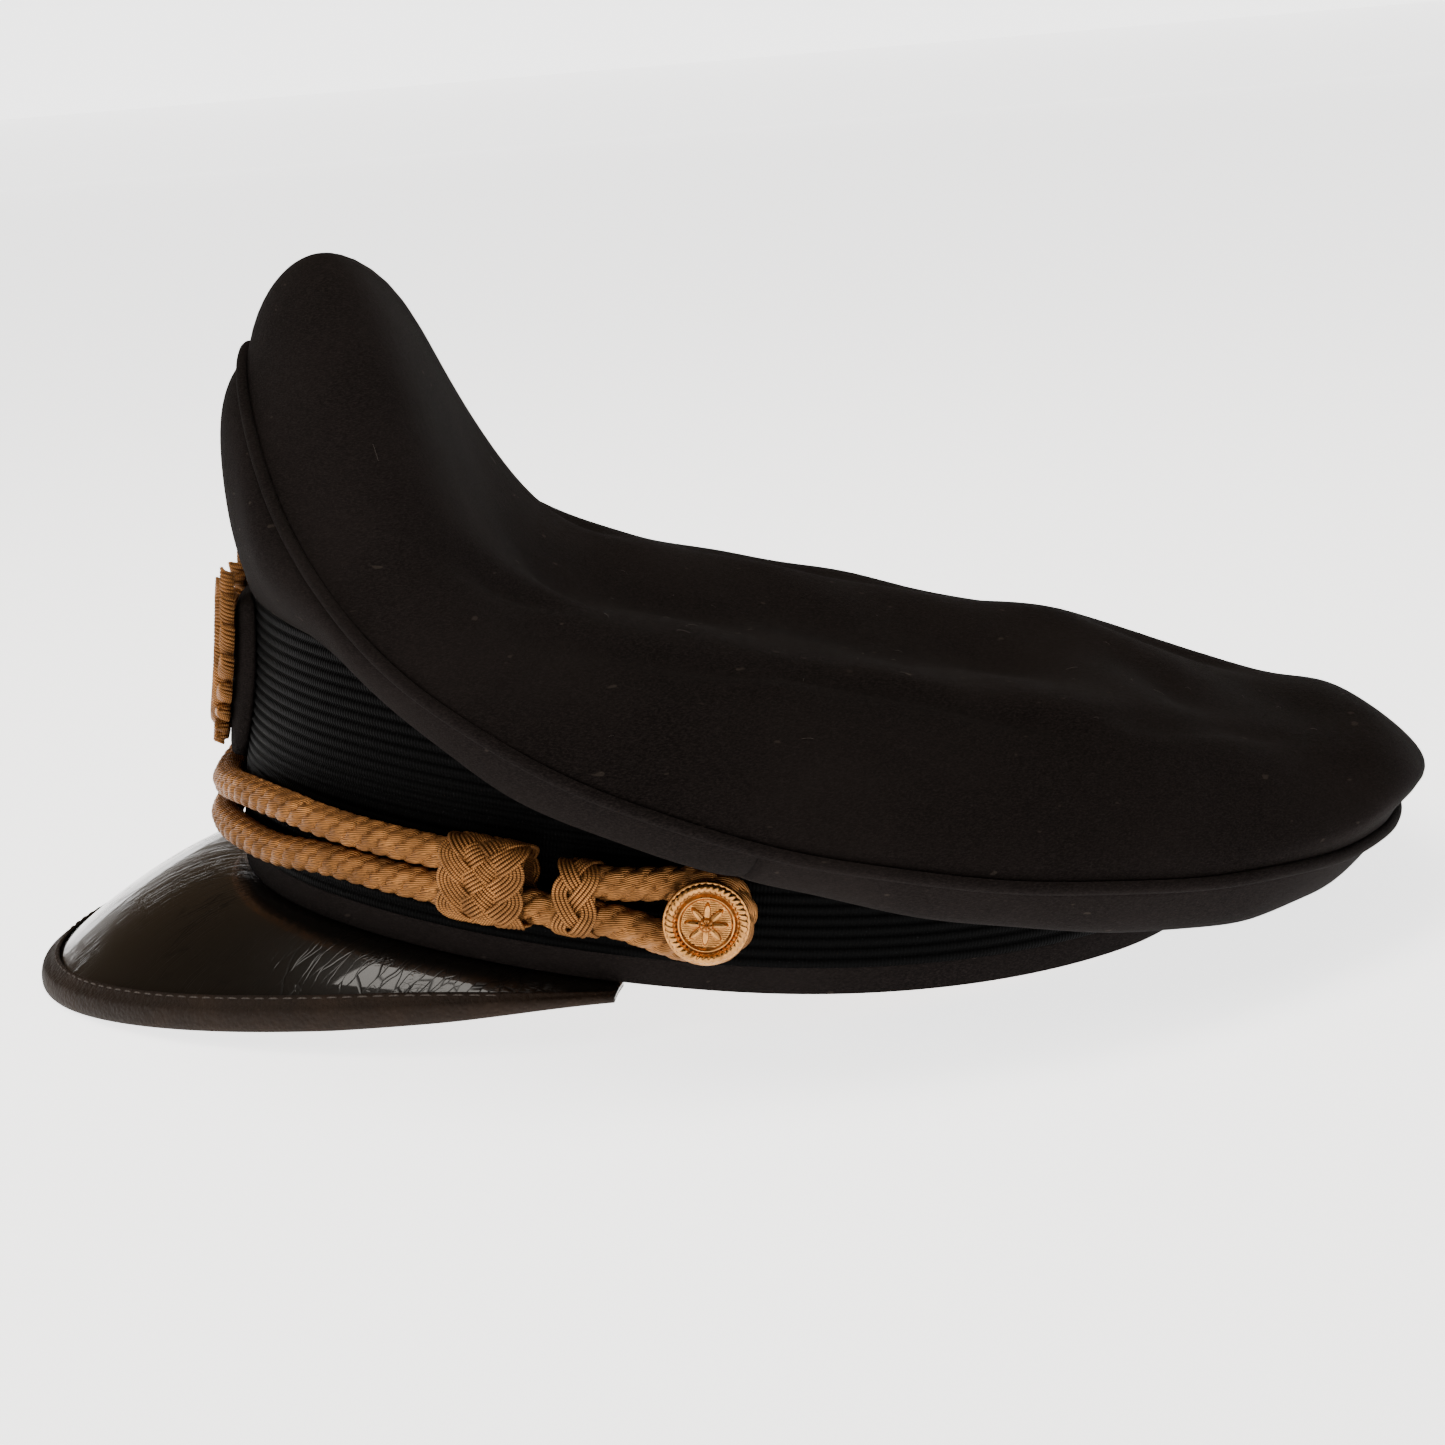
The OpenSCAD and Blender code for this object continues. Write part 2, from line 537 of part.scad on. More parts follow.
// bore for one cord, and the opening where the bores of two touching cords meet
knot_back = run_r - cr - 1.2;
module cord_bore(z) translate([run_r, z]) circle(r = cr + knot_clear, $fn = 48);
module bore_link(z) translate([run_r - 1.2, z - 1.6]) square([2.4, 3.2]);
// run_up = 1 when the running cord is the upper one; the other cord ends inside the knot
module slide_knot(run_up) {
    stop = 1.5;
    half = slide_height / 2;
    difference() {
        arc(slide_a, slide_span)
            section(knot_back, run_r + cr + 2.1, cord_height - half, cord_height + half, 2.4);
        arc(slide_a, slide_span + 2) cord_bore(cord_height + run_up * pitch_c / 2);
        arc(slide_a + stop, slide_span + 1.1) {
            cord_bore(cord_height - run_up * pitch_c / 2);
            bore_link(cord_height);
        }
    }
}
module keeper_knot() {
    half = pitch_c / 2 + cr + 1;
    difference() {
        arc(keep_a, keep_span) section(knot_back, run_r + cr + 1.2, keep_h - half, keep_h + half, 2);
        arc(keep_a, keep_span + 2) {
            for (s = [-1, 1]) cord_bore(keep_h + s * pitch_c / 2);
            bore_link(keep_h);
        }
    }
}
module left_slide_knot() color([0.6, 0.38, 0.18]) slide_knot(-1);
module right_slide_knot() color([0.6, 0.38, 0.18]) mirror([1, 0, 0]) slide_knot(1);
module left_keeper_knot() color([0.6, 0.38, 0.18]) keeper_knot();
module right_keeper_knot() color([0.6, 0.38, 0.18]) mirror([1, 0, 0]) keeper_knot();

// ---------- side buttons, drawn along +Z then laid along the wearer's left ----------
module at_button() {
    translate([0, button_y, button_height]) rotate([0, 90, 0]) children();
}
module button_face() {
    r = button_diameter / 2;
    z = button_back;
    rotate_extrude($fn = 180) difference() {
        union() {
            translate([0, z + 1.25]) square([r - 1.5, 1.35]);
            translate([0, z + 0.1]) square([r, 1.6]);
            translate([r - 1.3, z + 1.6]) circle(r = 1.05, $fn = 48);
            translate([r - 3, z + 2.5]) circle(r = 0.5, $fn = 48);
            translate([0, z + 2.5]) square([1.6, 1.3]);
            translate([1.6, z + 2.5]) circle(r = 1.2, $fn = 48);
            translate([0, z + 2.5]) square([r - 4.4, 0.5]);
        }
        translate([-r, z - 2]) square([r, 8]);
        translate([-1, z - 1]) square([r - 0.6 + 1, 2.1]);
    }
}
module button_plate() {
    difference() {
        translate([0, 0, button_back + 0.1]) cylinder(r = button_diameter / 2 - 0.75, h = 0.85);
        translate([0, 0, button_back - 1]) cylinder(d = shank_diameter + 0.2, h = 3);
    }
}
// inner face of the foundation at the button, and the end of the shank behind it
eyelet_in = button_x - found_in;
shank_in = eyelet_in - 2.1;
pin_x = eyelet_in - 1.15;
module shank() {
    difference() {
        union() {
            translate([0, 0, shank_in]) cylinder(d = shank_diameter, h = button_back + 0.95 - shank_in);
            translate([0, 0, button_back - 0.75]) cylinder(d = shank_diameter + 2.2, h = 0.7);
        }
        translate([0, 0, pin_x]) rotate([90, 0, 0]) cylinder(d = 1.3, h = 10, center = true, $fn = 32);
    }
}
module pin() {
    translate([0, 0, pin_x]) rotate([90, 0, 0]) {
        cylinder(d = 1, h = 11, center = true, $fn = 32);
        translate([0, 0, 5.5]) sphere(d = 1.5, $fn = 32);
    }
}
module eyelet() {
    difference() {
        union() {
            translate([0, 0, eyelet_in - 0.5]) cylinder(d = eyelet_hole - 0.4, h = found_in + 1);
            translate([0, 0, button_x + 0.2]) cylinder(d = eyelet_hole + 1.9, h = 0.45);
            translate([0, 0, eyelet_in - 0.6]) cylinder(d = eyelet_hole + 1.7, h = 0.3);
        }
        translate([0, 0, eyelet_in - 3]) cylinder(d = shank_diameter + 0.5, h = found_in + 8);
    }
}
module left_button_face() color([0.8, 0.58, 0.3]) at_button() button_face();
module right_button_face() color([0.8, 0.58, 0.3]) mirror([1, 0, 0]) at_button() button_face();
module left_button_back() color([0.62, 0.45, 0.25]) at_button() button_plate();
module right_button_back() color([0.62, 0.45, 0.25]) mirror([1, 0, 0]) at_button() button_plate();
module left_button_shank() color([0.62, 0.45, 0.25]) at_button() shank();
module right_button_shank() color([0.62, 0.45, 0.25]) mirror([1, 0, 0]) at_button() shank();
module left_split_pin() color([0.55, 0.55, 0.55]) at_button() pin();
module right_split_pin() color([0.55, 0.55, 0.55]) mirror([1, 0, 0]) at_button() pin();
module left_eyelet() color([0.66, 0.5, 0.25]) at_button() eyelet();
module right_eyelet() color([0.66, 0.5, 0.25]) mirror([1, 0, 0]) at_button() eyelet();

// ---------- badge ----------
badge_mid = (badge_bottom + badge_top) / 2;
badge_r = (badge_top - badge_bottom) / 2;
module curved(in, out) {
    intersection() {
        difference() {
            linear_extrude(height = 90) oval_area(out);
            translate([0, 0, -1]) linear_extrude(height = 92) oval_area(in);
        }
        translate([0, -a / 2, 0]) rotate([90, 0, 0]) linear_extrude(height = a) children();
    }
}
module crescent() {
    difference() {
        translate([0, badge_mid]) circle(r = badge_r);
        translate([0, badge_mid + 4]) circle(r = badge_r - 8.5);
        translate([-3.4, badge_mid]) square([6.8, 60]);
        translate([-3.6, badge_bottom - 5]) square([7.2, 18]);
    }
}
module badge_backing() color([0.03, 0.03, 0.03]) curved(0.15, 3.6) intersection() {
    translate([0, badge_mid]) circle(r = badge_width / 2);
    translate([-40, badge_bottom - 1]) square([80, band_top_front - 1.5 - badge_bottom]);
}
module badge_wreath_left() color([0.7, 0.5, 0.27]) curved(4.1, 8.2) intersection() {
    crescent();
    square([60, 90]);
}
module badge_wreath_right() color([0.7, 0.5, 0.27]) curved(4.1, 8.2) intersection() {
    crescent();
    translate([-60, 0]) square([60, 90]);
}
module badge_wreath_tie() color([0.7, 0.5, 0.27])
    curved(3.8, 8.4) translate([-3.2, badge_bottom + 0.3]) square([6.4, 6.4]);
module badge_cockade() color([0.75, 0.55, 0.3])
    translate([0, -a - 3.8, badge_mid + 3.6]) rotate([90, 0, 0]) {
    cylinder(r = 8.4, h = 2.4);
    translate([0, 0, 2.4]) cylinder(r = 5.6, h = 1.4);
    translate([0, 0, 3.8]) cylinder(r = 2.6, h = 1);
}

// ---------- standing on visor and back ----------
translate([0, -mid_y, tilt_z]) rotate([-rest_tilt, 0, 0]) {
    crown_top();
    crown_quarter_front_left();
    crown_quarter_front_right();
    crown_quarter_back_left();
    crown_quarter_back_right();
    crown_edge_welt();
    ribbed_braid_band();
    band_cloth();
    band_foundation();
    band_edge_reed();
    visor_shell();
    visor_binding();
    visor_lining();
    sweatband();
    sweatband_bow();
    side_lining();
    crown_lining();
    sweat_shield();
    crown_wire();
    crown_wire_sleeve();
    front_stay();
    front_stiffener();
    badge_backing();
    badge_wreath_left();
    badge_wreath_right();
    badge_wreath_tie();
    badge_cockade();
    chin_cord_lower();
    chin_cord_upper();
    left_slide_knot();
    right_slide_knot();
    left_keeper_knot();
    right_keeper_knot();
    left_button_face();
    right_button_face();
    left_button_back();
    right_button_back();
    left_button_shank();
    right_button_shank();
    left_split_pin();
    right_split_pin();
    left_eyelet();
    right_eyelet();
}
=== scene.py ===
"""Looks of a military peaked cap.

Crushed wool crown, ribbed band, patent visor, plaited chin cords with woven knots,
gilt buttons and bullion badge.
"""

import math

import bmesh
import bpy
import numpy as np
from mathutils import Matrix, Vector


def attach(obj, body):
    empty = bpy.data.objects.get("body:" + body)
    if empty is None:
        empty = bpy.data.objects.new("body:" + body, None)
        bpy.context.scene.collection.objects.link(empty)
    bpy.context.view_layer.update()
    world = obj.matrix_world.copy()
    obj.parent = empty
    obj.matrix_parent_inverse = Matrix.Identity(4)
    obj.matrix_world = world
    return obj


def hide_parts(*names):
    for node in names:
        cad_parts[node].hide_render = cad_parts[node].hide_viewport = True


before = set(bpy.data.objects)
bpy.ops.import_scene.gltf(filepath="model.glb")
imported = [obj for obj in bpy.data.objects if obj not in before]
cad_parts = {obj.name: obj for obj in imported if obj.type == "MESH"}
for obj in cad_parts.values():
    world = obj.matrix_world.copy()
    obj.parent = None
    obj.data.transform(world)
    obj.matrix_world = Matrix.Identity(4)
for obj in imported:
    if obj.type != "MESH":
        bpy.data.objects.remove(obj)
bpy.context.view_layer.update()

bl_info = {
    "name": "Peaked cap",
    "version": (1, 0, 0),
    "blender": (4, 5, 0),
    "location": "View3D > Sidebar > Peaked cap",
    "description": "Builds the cloth, leather, cords, knots, buttons and badge of a peaked cap",
    "category": "Object",
}

SEED = 7
FIBRES = 45


# ---------------------------------------------------------------- settings

def linear(code):
    """An sRGB hex colour as linear red, green and blue."""
    parts = [int(code[i:i + 2], 16) / 255 for i in (1, 3, 5)]
    return tuple(c / 12.92 if c <= 0.04045 else ((c + 0.055) / 1.055) ** 2.4 for c in parts)


def length(name, description, millimetres):
    """A length setting, kept in metres and given here in millimetres."""
    return bpy.props.FloatProperty(
        name=name, description=description, default=millimetres / 1000, min=0.0,
        unit="LENGTH", subtype="DISTANCE", precision=4)


def share(name, description, value):
    """A plain number setting."""
    return bpy.props.FloatProperty(name=name, description=description, default=value)


def colour(name, description, code):
    """A colour setting, given here as an sRGB hex code."""
    return bpy.props.FloatVectorProperty(
        name=name, description=description, default=linear(code), size=3, min=0.0, max=1.0, subtype="COLOR")


class CapSizes(bpy.types.PropertyGroup):
    """Sizes of the cap, the same as in its CAD part."""

    band_half_length: length("Half band length", "Half the outside length of the band", 103.5)
    band_half_width: length("Half band width", "Half the outside width of the band", 85.5)
    band_end_ratio: share("Band end ratio", "Front and back curve as a share of the half width", 0.8655)
    band_top_front: length("Band top, front", "Height of the top of the band at the front", 58)
    band_top_back: length("Band top, back", "Height of the top of the band at the back", 42)
    band_back_rise: length("Band back rise", "How far the bottom edge curves up at the back", 7.1)
    base_strip: length("Base strip", "Height of the plain cloth strip below the braid", 5.6)
    rib_pitch: length("Rib pitch", "Distance between two ribs of the braid", 2.15)
    sweatband_height: length("Sweatband height", "Height of the sweatband at the front", 40)
    overhang_front: length("Overhang, front", "How far the crown edge stands in front of the band", 3)
    overhang_back: length("Overhang, back", "How far the crown edge stands behind the band", 37.5)
    overhang_side: length("Overhang, side", "How far the crown edge stands out at each side", 28.5)
    back_roll: length("Back roll", "How far the back of the top rolls out", 12)
    edge_height_back: length("Edge height, back", "Height of the crown edge at the back", 30)
    edge_rise_front: length("Edge rise, front", "Height of the crown edge at the front above the back", 77)
    top_height: length("Top height", "Height of the crown top over the middle of the head", 60.6)
    peak_height: length("Peak height", "Height of the front peak above the sloping top", 67.5)
    cloth_sag: length("Cloth sag", "How far the side cloth sags below the crown edge", 8.5)
    back_sag: length("Back sag", "How much further the cloth sags at the back", 5)
    welt_diameter: length("Welt diameter", "Diameter of the corded welt round the crown edge", 2)
    visor_reach: length("Visor reach", "Reach of the visor in front of the band", 41.5)
    visor_drop: length("Visor drop", "Drop of the visor edge below the band", 27.5)
    binding_width: length("Binding width", "Width of the leather binding on the visor edge", 4.8)
    cord_diameter: length("Cord diameter", "Diameter of one chin cord", 6.8)
    cord_height: length("Cord height", "Height of the middle of the cord pair in the slide knots", 18.35)
    slide_length: length("Slide knot length", "Length of a slide knot along the cord", 18)
    slide_height: length("Slide knot height", "Height of a slide knot", 17.6)
    slide_forward: length("Slide knot place", "Distance of a slide knot in front of the band's middle", 46)
    keeper_length: length("Keeper knot length", "Length of a keeper knot along the cord", 9)
    button_diameter: length("Button diameter", "Diameter of a side button", 16.5)
    button_height: length("Button height", "Height of a side button above the band edge", 16.6)
    badge_width: length("Badge width", "Width of the badge backing", 46)
    badge_bottom: length("Badge bottom", "Lowest point of the badge", 21.5)
    badge_top: length("Badge top", "Highest point of the badge", 64)


class CapColours(bpy.types.PropertyGroup):
    """Colours of the cap's materials."""

    wool: colour("Wool", "Crown and band cloth", "#110e0d")
    braid: colour("Braid", "Ribbed band", "#020202")
    patent: colour("Patent leather", "Upper face of the visor", "#0d0b09")
    binding: colour("Binding", "Leather binding on the visor edge", "#1a120c")
    bullion: colour("Bullion", "Gilt wire of cords, knots and wreath", "#b87c42")
    gilt: colour("Gilt", "Stamped side buttons", "#b58048")
    lining: colour("Lining", "Satin lining", "#8c6c3e")
    sweat_leather: colour("Sweatband", "Tan leather sweatband", "#84502a")
    underside: colour("Visor underside", "Leather cloth under the visor", "#3c2b1c")
    backdrop: colour("Backdrop", "Floor and surroundings", "#e8e8e8")


# ---------------------------------------------------------------- shape of the cap

def ease(x):
    """Smooth step from 0 to 1."""
    t = np.clip(x, 0, 1)
    return t * t * (3 - 2 * t)


def mix(a, b, t):
    return a + (b - a) * t


def unit(v):
    return v / np.maximum(np.linalg.norm(v, axis=-1, keepdims=True), 1e-9)


def sind(a):
    return np.sin(np.radians(a))


def cosd(a):
    return np.cos(np.radians(a))


def points(x, y, z):
    """Three arrays or numbers as an array of points."""
    return np.stack(np.broadcast_arrays(np.asarray(x, float), y, z), axis=-1)


class Cap:
    """The cap's shape in its own axes, in millimetres: +X wearer's left, -Y front, +Z up along the band."""

    CORNER_Y = -16.0
    BUTTON_Y = -4.2
    KNOT_GAP = 4.0
    SEAM_ANGLE = 94.5
    EDGE_LIFT = 0.6
    # half band length for which the crown's profile curves are written
    PROFILE_LENGTH = 103.5
    # heights of the visor's face at the band, along its sides and in front
    VISOR_ROOT_Z = -0.25
    VISOR_FRONT_Z = -0.7
    # cords and knots stand this far off the band or lower than the pair
    CORD_STANDOFF = 1.5
    KEEPER_LOWER = 0.7
    # thicknesses, and the depths between which each layer lies
    CLOTH = 1.5
    BRAID = 1.2
    BAND_CLOTH = (0.75, 1.95)
    FOUNDATION = (2.0, 2.9)
    SWEATBAND = (5.6, 6.5)
    CROWN_LINING = (2.9, 3.4)
    SHIELD = (3.9, 4.2)
    VISOR_BOARD = 1.3
    PLY_GAP = 0.15
    VISOR_PLY = 0.65

    def __init__(self, sizes):
        for name in CapSizes.__annotations__:
            value = getattr(sizes, name)
            setattr(self, name, value if name == "band_end_ratio" else value * 1000)
        a, b = self.band_half_length, self.band_half_width
        self.a = a
        self.end_r = self.band_end_ratio * b
        self.end_c = a - self.end_r
        self.side_r = (b * b - self.end_r ** 2 + self.end_c ** 2) / (2 * (b - self.end_r))
        self.side_c = self.side_r - b
        self.turn = self.end_c / (self.side_r - self.end_r)
        self.turn_y = self.end_c + self.end_r * self.turn
        self.top_mid = (self.band_top_front + self.band_top_back) / 2
        self.top_slope = (self.band_top_front - self.band_top_back) / 2 / a
        self.rise_r = a * a / (2 * self.band_back_rise)
        self.crown_c = 14 / self.PROFILE_LENGTH * a
        self.crown_f = a + self.overhang_front + self.crown_c
        self.crown_b = a + self.overhang_back - self.crown_c
        self.crown_w = b + self.overhang_side
        self.visor_l = a + self.visor_reach + self.CORNER_Y
        self.visor_w = b + 2
        self.found_in = self.FOUNDATION[1]
        self.cr = self.cord_diameter / 2
        self.pitch_c = self.cord_diameter + 0.3
        self.run_off = self.cr + self.CORD_STANDOFF
        self.run_r = self.side_r + self.run_off
        self.keep_mid = self.slide_forward - self.slide_length / 2 - self.KNOT_GAP - self.keeper_length / 2
        self.keep_h = self.cord_height - self.KEEPER_LOWER
        self.button_x = -self.side_c + math.sqrt(self.side_r ** 2 - self.BUTTON_Y ** 2)
        self.button_back = self.button_x + 2 * self.cr + 1.2
        tip_y = self.CORNER_Y - self.visor_l - 0.4
        tip_z = self.VISOR_FRONT_Z - self.visor_drop - 2.5
        self.tilt = math.atan((self.band_back_rise - tip_z) / (a - tip_y))
        cos_t, sin_t = math.cos(self.tilt), math.sin(self.tilt)
        self.tilt_z = a * sin_t - self.band_back_rise * cos_t
        back = (a + self.overhang_back + 7.3) * cos_t + (self.edge_height_back + 8) * sin_t
        self.mid_y = 0.5 * (tip_y * cos_t + tip_z * sin_t + back)

    def to_row(self, p):
        """Cap axes in millimetres to the row frame in metres."""
        c, s = math.cos(self.tilt), math.sin(self.tilt)
        x, y, z = p[..., 0], p[..., 1], p[..., 2]
        return np.stack([x, y * c + z * s - self.mid_y, -y * s + z * c + self.tilt_z], axis=-1) / 1000

    # ----- band
    def oval(self, an, off):
        """Plan of the band line, moved out by off; an is the outward direction, 0 at the back."""
        s, c = sind(an), cosd(an)
        side = np.abs(c) < self.turn
        x = np.where(side, -np.sign(s) * self.side_c + (self.side_r + off) * s, (self.end_r + off) * s)
        y = np.where(side, (self.side_r + off) * c, np.sign(c) * self.end_c + (self.end_r + off) * c)
        return x, y

    def band_bottom(self, y):
        return np.where(y > 0, self.rise_r - np.sqrt(self.rise_r ** 2 - y * y), 0.0)

    def band_top(self, y):
        return self.top_mid - self.top_slope * y

    # ----- crown
    def edge_z(self, an):
        x = (1 - cosd(an)) / 2
        return self.edge_height_back + self.edge_rise_front * (0.618 * x ** 3.2 + 0.382 * x ** 14)

    def edge_plan(self, an, off):
        s, c = sind(an), cosd(an)
        half = np.where(c > 0, self.crown_b, self.crown_f)
        n = unit(np.stack([s / self.crown_w, c / half], axis=-1))
        return self.crown_w * s + off * n[..., 0], self.crown_c + half * c + off * n[..., 1]

    def top_line(self, y):
        u = y * self.PROFILE_LENGTH / self.a
        return (self.top_height - 0.11 * u + self.peak_height / (1 + np.exp((u + 67.5) / 9))
                + 1.6 * np.exp(-((u - 80) / 20) ** 2) + 6.5 * np.exp(-((u - 137) / 12) ** 2))

    def top_field(self, x, y, y0, ez):
        lim = np.where(y0 > self.crown_c, self.crown_b, self.crown_f)
        half = self.crown_w * np.sqrt(np.maximum(0, 1 - ((y0 - self.crown_c) / lim) ** 2))
        q = np.minimum(1, np.abs(x) / mix(self.crown_w, half, 0.65))
        behind_peak = ease((y * self.PROFILE_LENGTH / self.a + 78) / 52)
        c = self.top_line(y)
        hollow = 5 * (1 - ease(np.abs(x) / 48)) * (1 - ease((y - 50) / 40))
        shoulder = 13.5 * (np.maximum(0, q - 0.44) / 0.56) ** 1.7
        peak_side = 0.95 * np.maximum(0, c - ez) * np.minimum(1, np.abs(x) / np.maximum(1, half)) ** 2.4
        return c - behind_peak * (hollow + shoulder) - (1 - behind_peak) * peak_side

    def top_pt(self, an, s, depth, creases=0.0):
        """Crown top at the angle an and the share s of the way out, depth below its face."""
        ex, ey = self.edge_plan(an, -depth * s ** 8)
        x, y0 = s * ex, self.crown_c + s * (ey - self.crown_c)
        y = y0 + self.back_roll * np.maximum(0, cosd(an)) ** 1.5 * np.sin(math.pi * s ** 12)
        ez = self.edge_z(an) + self.EDGE_LIFT
        rise = np.maximum(2.5 - 220 * np.maximum(0, 0.93 - s), self.top_field(x, y, y0, ez) - ez)
        roll = np.maximum(0, 1 - s ** 8) ** 0.6
        z = ez + (rise - depth + creases * crown_creases(x, y)) * roll
        return points(x, y, z)

    # ----- side cloth
    def q_mix(self, an):
        turned = np.abs(np.mod(an + 180, 360) - 180)
        return 1 - ease((turned - 115) / 38)

    def q_raw(self, an, t):
        sx, sy = self.oval(an, 0.9)
        s = points(sx, sy, self.band_top(sy))
        wx, wy = self.edge_plan(an, 0)
        w = points(wx, wy, self.edge_z(an))
        low = w[..., 2] - self.cloth_sag - self.back_sag * ease(1.4 * cosd(an))
        kz = low - np.sqrt(np.maximum(0, (s[..., 2] - low) * (w[..., 2] - low)))
        side = mix(s, w, 0.62)
        fx, fy = self.edge_plan(an, 11)
        g = self.q_mix(an)
        front_z = mix(s[..., 2], w[..., 2], 0.8)
        k = points(mix(fx, side[..., 0], g), mix(fy, side[..., 1], g), mix(front_z, kz, g))
        t = np.asarray(t, float)[..., None]
        return (1 - t) ** 2 * s + 2 * t * (1 - t) * k + t * t * w

    def q_pt(self, an, t, depth):
        """Side cloth at the angle an, the share t of the way from the band to the crown edge."""
        along = self.q_raw(an, t + 0.01) - self.q_raw(an, t - 0.01)
        around = self.q_raw(an + 0.5, t) - self.q_raw(an - 0.5, t)
        n = unit(np.cross(along, around))
        return self.q_raw(an, t) - np.asarray(depth)[..., None] * n

    # ----- visor
    def v_in(self, t, off):
        span = 90 - math.degrees(math.asin(-self.CORNER_Y / self.side_r))
        return self.oval(180 - t * span / 90, off)

    def v_out(self, t):
        return points(self.visor_w * sind(t), self.CORNER_Y - self.visor_l * cosd(t),
                      self.VISOR_FRONT_Z - self.visor_drop * np.maximum(0, cosd(t)) ** 1.15)

    def v_thin(self, t):
        """Layers thin out towards the two corners."""
        return 0.55 + 0.45 * np.minimum(1, 2.2 * cosd(t))

    def v_pt(self, t, s, drop):
        """Visor at the angle t, s from the band at 0 to the edge at 1, drop below its face."""
        ix, iy = self.v_in(t, 0.2)
        o = self.v_out(t)
        return points(mix(ix, o[..., 0], s), mix(iy, o[..., 1], s),
                      mix(self.VISOR_ROOT_Z, o[..., 2], s ** 1.6) - drop * self.v_thin(t))

    def v_tuck(self, t, inward, z):
        x, y = self.v_in(t, -self.found_in - inward)
        return points(x, y, z)

    # ----- chin cords
    def on_side(self, y, off, z):
        return points(-self.side_c + np.sqrt((self.side_r + off) ** 2 - np.square(y)), y, z)

    def front_pt(self, d, up):
        e = abs(d)
        x, y = self.oval(180 - d, mix(self.cr + 0.3, self.run_off, ease((e - 30) / 22)))
        mid = self.cord_height - 5.8 + 4 * ease(e / 35) + 1.8 * ease((e - 30) / 22)
        half = self.pitch_c / 2 + 1.3 * (ease(e / 36) - ease((e - 38) / 14))
        return points(x, y, mid + up * half)

    def cord_path(self, up):
        """Running cord from the keeper knot, round the button and the front, to the far slide knot."""
        near, far = self.keep_h - up * self.pitch_c / 2, self.keep_h + up * self.pitch_c / 2
        run = self.cord_height + up * self.pitch_c / 2
        loop_r, off = self.cr + 3, self.cr + 0.9
        y1 = -self.keep_mid + self.keeper_length / 2
        y2 = -self.keep_mid - self.keeper_length / 2
        tail = self.slide_forward + self.slide_length / 2 - 2.4
        run_end = (self.side_r + self.run_off) * sind(38)
        path = [self.on_side(mix(y2 + 1.2, y1, i / 2), self.run_off, near) for i in range(3)]
        for i in range(1, 6):
            f = i / 5
            path.append(self.on_side(mix(y1, self.BUTTON_Y, f), mix(self.run_off, off, ease(f)),
                                     mix(near, self.button_height - up * loop_r, ease(f))))
        for i in range(1, 12):
            g = -up * (90 - 15 * i)
            loop_y, loop_z = self.BUTTON_Y + loop_r * cosd(g), self.button_height + loop_r * sind(g)
            path.append(self.on_side(loop_y, off, loop_z))
        for i in range(5):
            f = 1 - i / 5
            path.append(self.on_side(mix(y1, self.BUTTON_Y, f), mix(self.run_off, off, ease(f)),
                                     mix(far, self.button_height + up * loop_r, ease(f))))
        path += [self.on_side(mix(y1, y2, i / 2), self.run_off, far) for i in range(3)]
        path += [self.on_side(mix(y2, -run_end, i / 10), self.run_off, run) for i in range(1, 11)]
        path += [self.front_pt(52 - 4 * i, up) for i in range(1, 26)]
        path += [self.on_side(mix(-run_end, -tail, i / 7), self.run_off, run) * (-1, 1, 1) for i in range(8)]
        return np.array(path)

    def cord_out(self, p):
        """Outward direction of the band at each point."""
        side = np.abs(p[:, 1]) < self.turn_y
        x = np.where(side, p[:, 0] + np.sign(p[:, 0]) * self.side_c, p[:, 0])
        y = np.where(side, p[:, 1], p[:, 1] + self.end_c)
        return unit(points(x, y, 0))


def crown_creases(x, y):
    """Soft dents and slack of worn cloth, in millimetres, over the plan of the crown."""
    slack = (0.45 * np.sin(x / 17 + 1.3) * np.sin(y / 23 + 0.4) + 0.3 * np.sin((x + y) / 11)
             + 0.22 * np.sin((x - 1.7 * y) / 9 + 2.0))
    folds = ((-58, 62, 24, -28, 5.0, -2.6), (-18, 66, 30, -8, 5.5, -1.7), (34, 60, 34, 6, 6.0, -1.9),
             (92, 46, 22, -34, 6.5, -1.8), (-52, -60, 26, 26, 6.0, -2.2), (20, -62, 36, -5, 7.0, -1.8),
             (96, -40, 20, 34, 6.0, -1.6), (88, 4, 30, 80, 7.0, -1.6), (-40, 18, 20, 70, 6.0, -1.2))
    total = slack
    for along, across, half, turn_deg, width, depth in folds:
        dx, dy = x - across, y - along
        u = dx * sind(turn_deg) + dy * cosd(turn_deg)
        v = dx * cosd(turn_deg) - dy * sind(turn_deg)
        total = total + depth * np.exp(-(v / width) ** 2 - (u / half) ** 4)
    return total


# ---------------------------------------------------------------- meshes

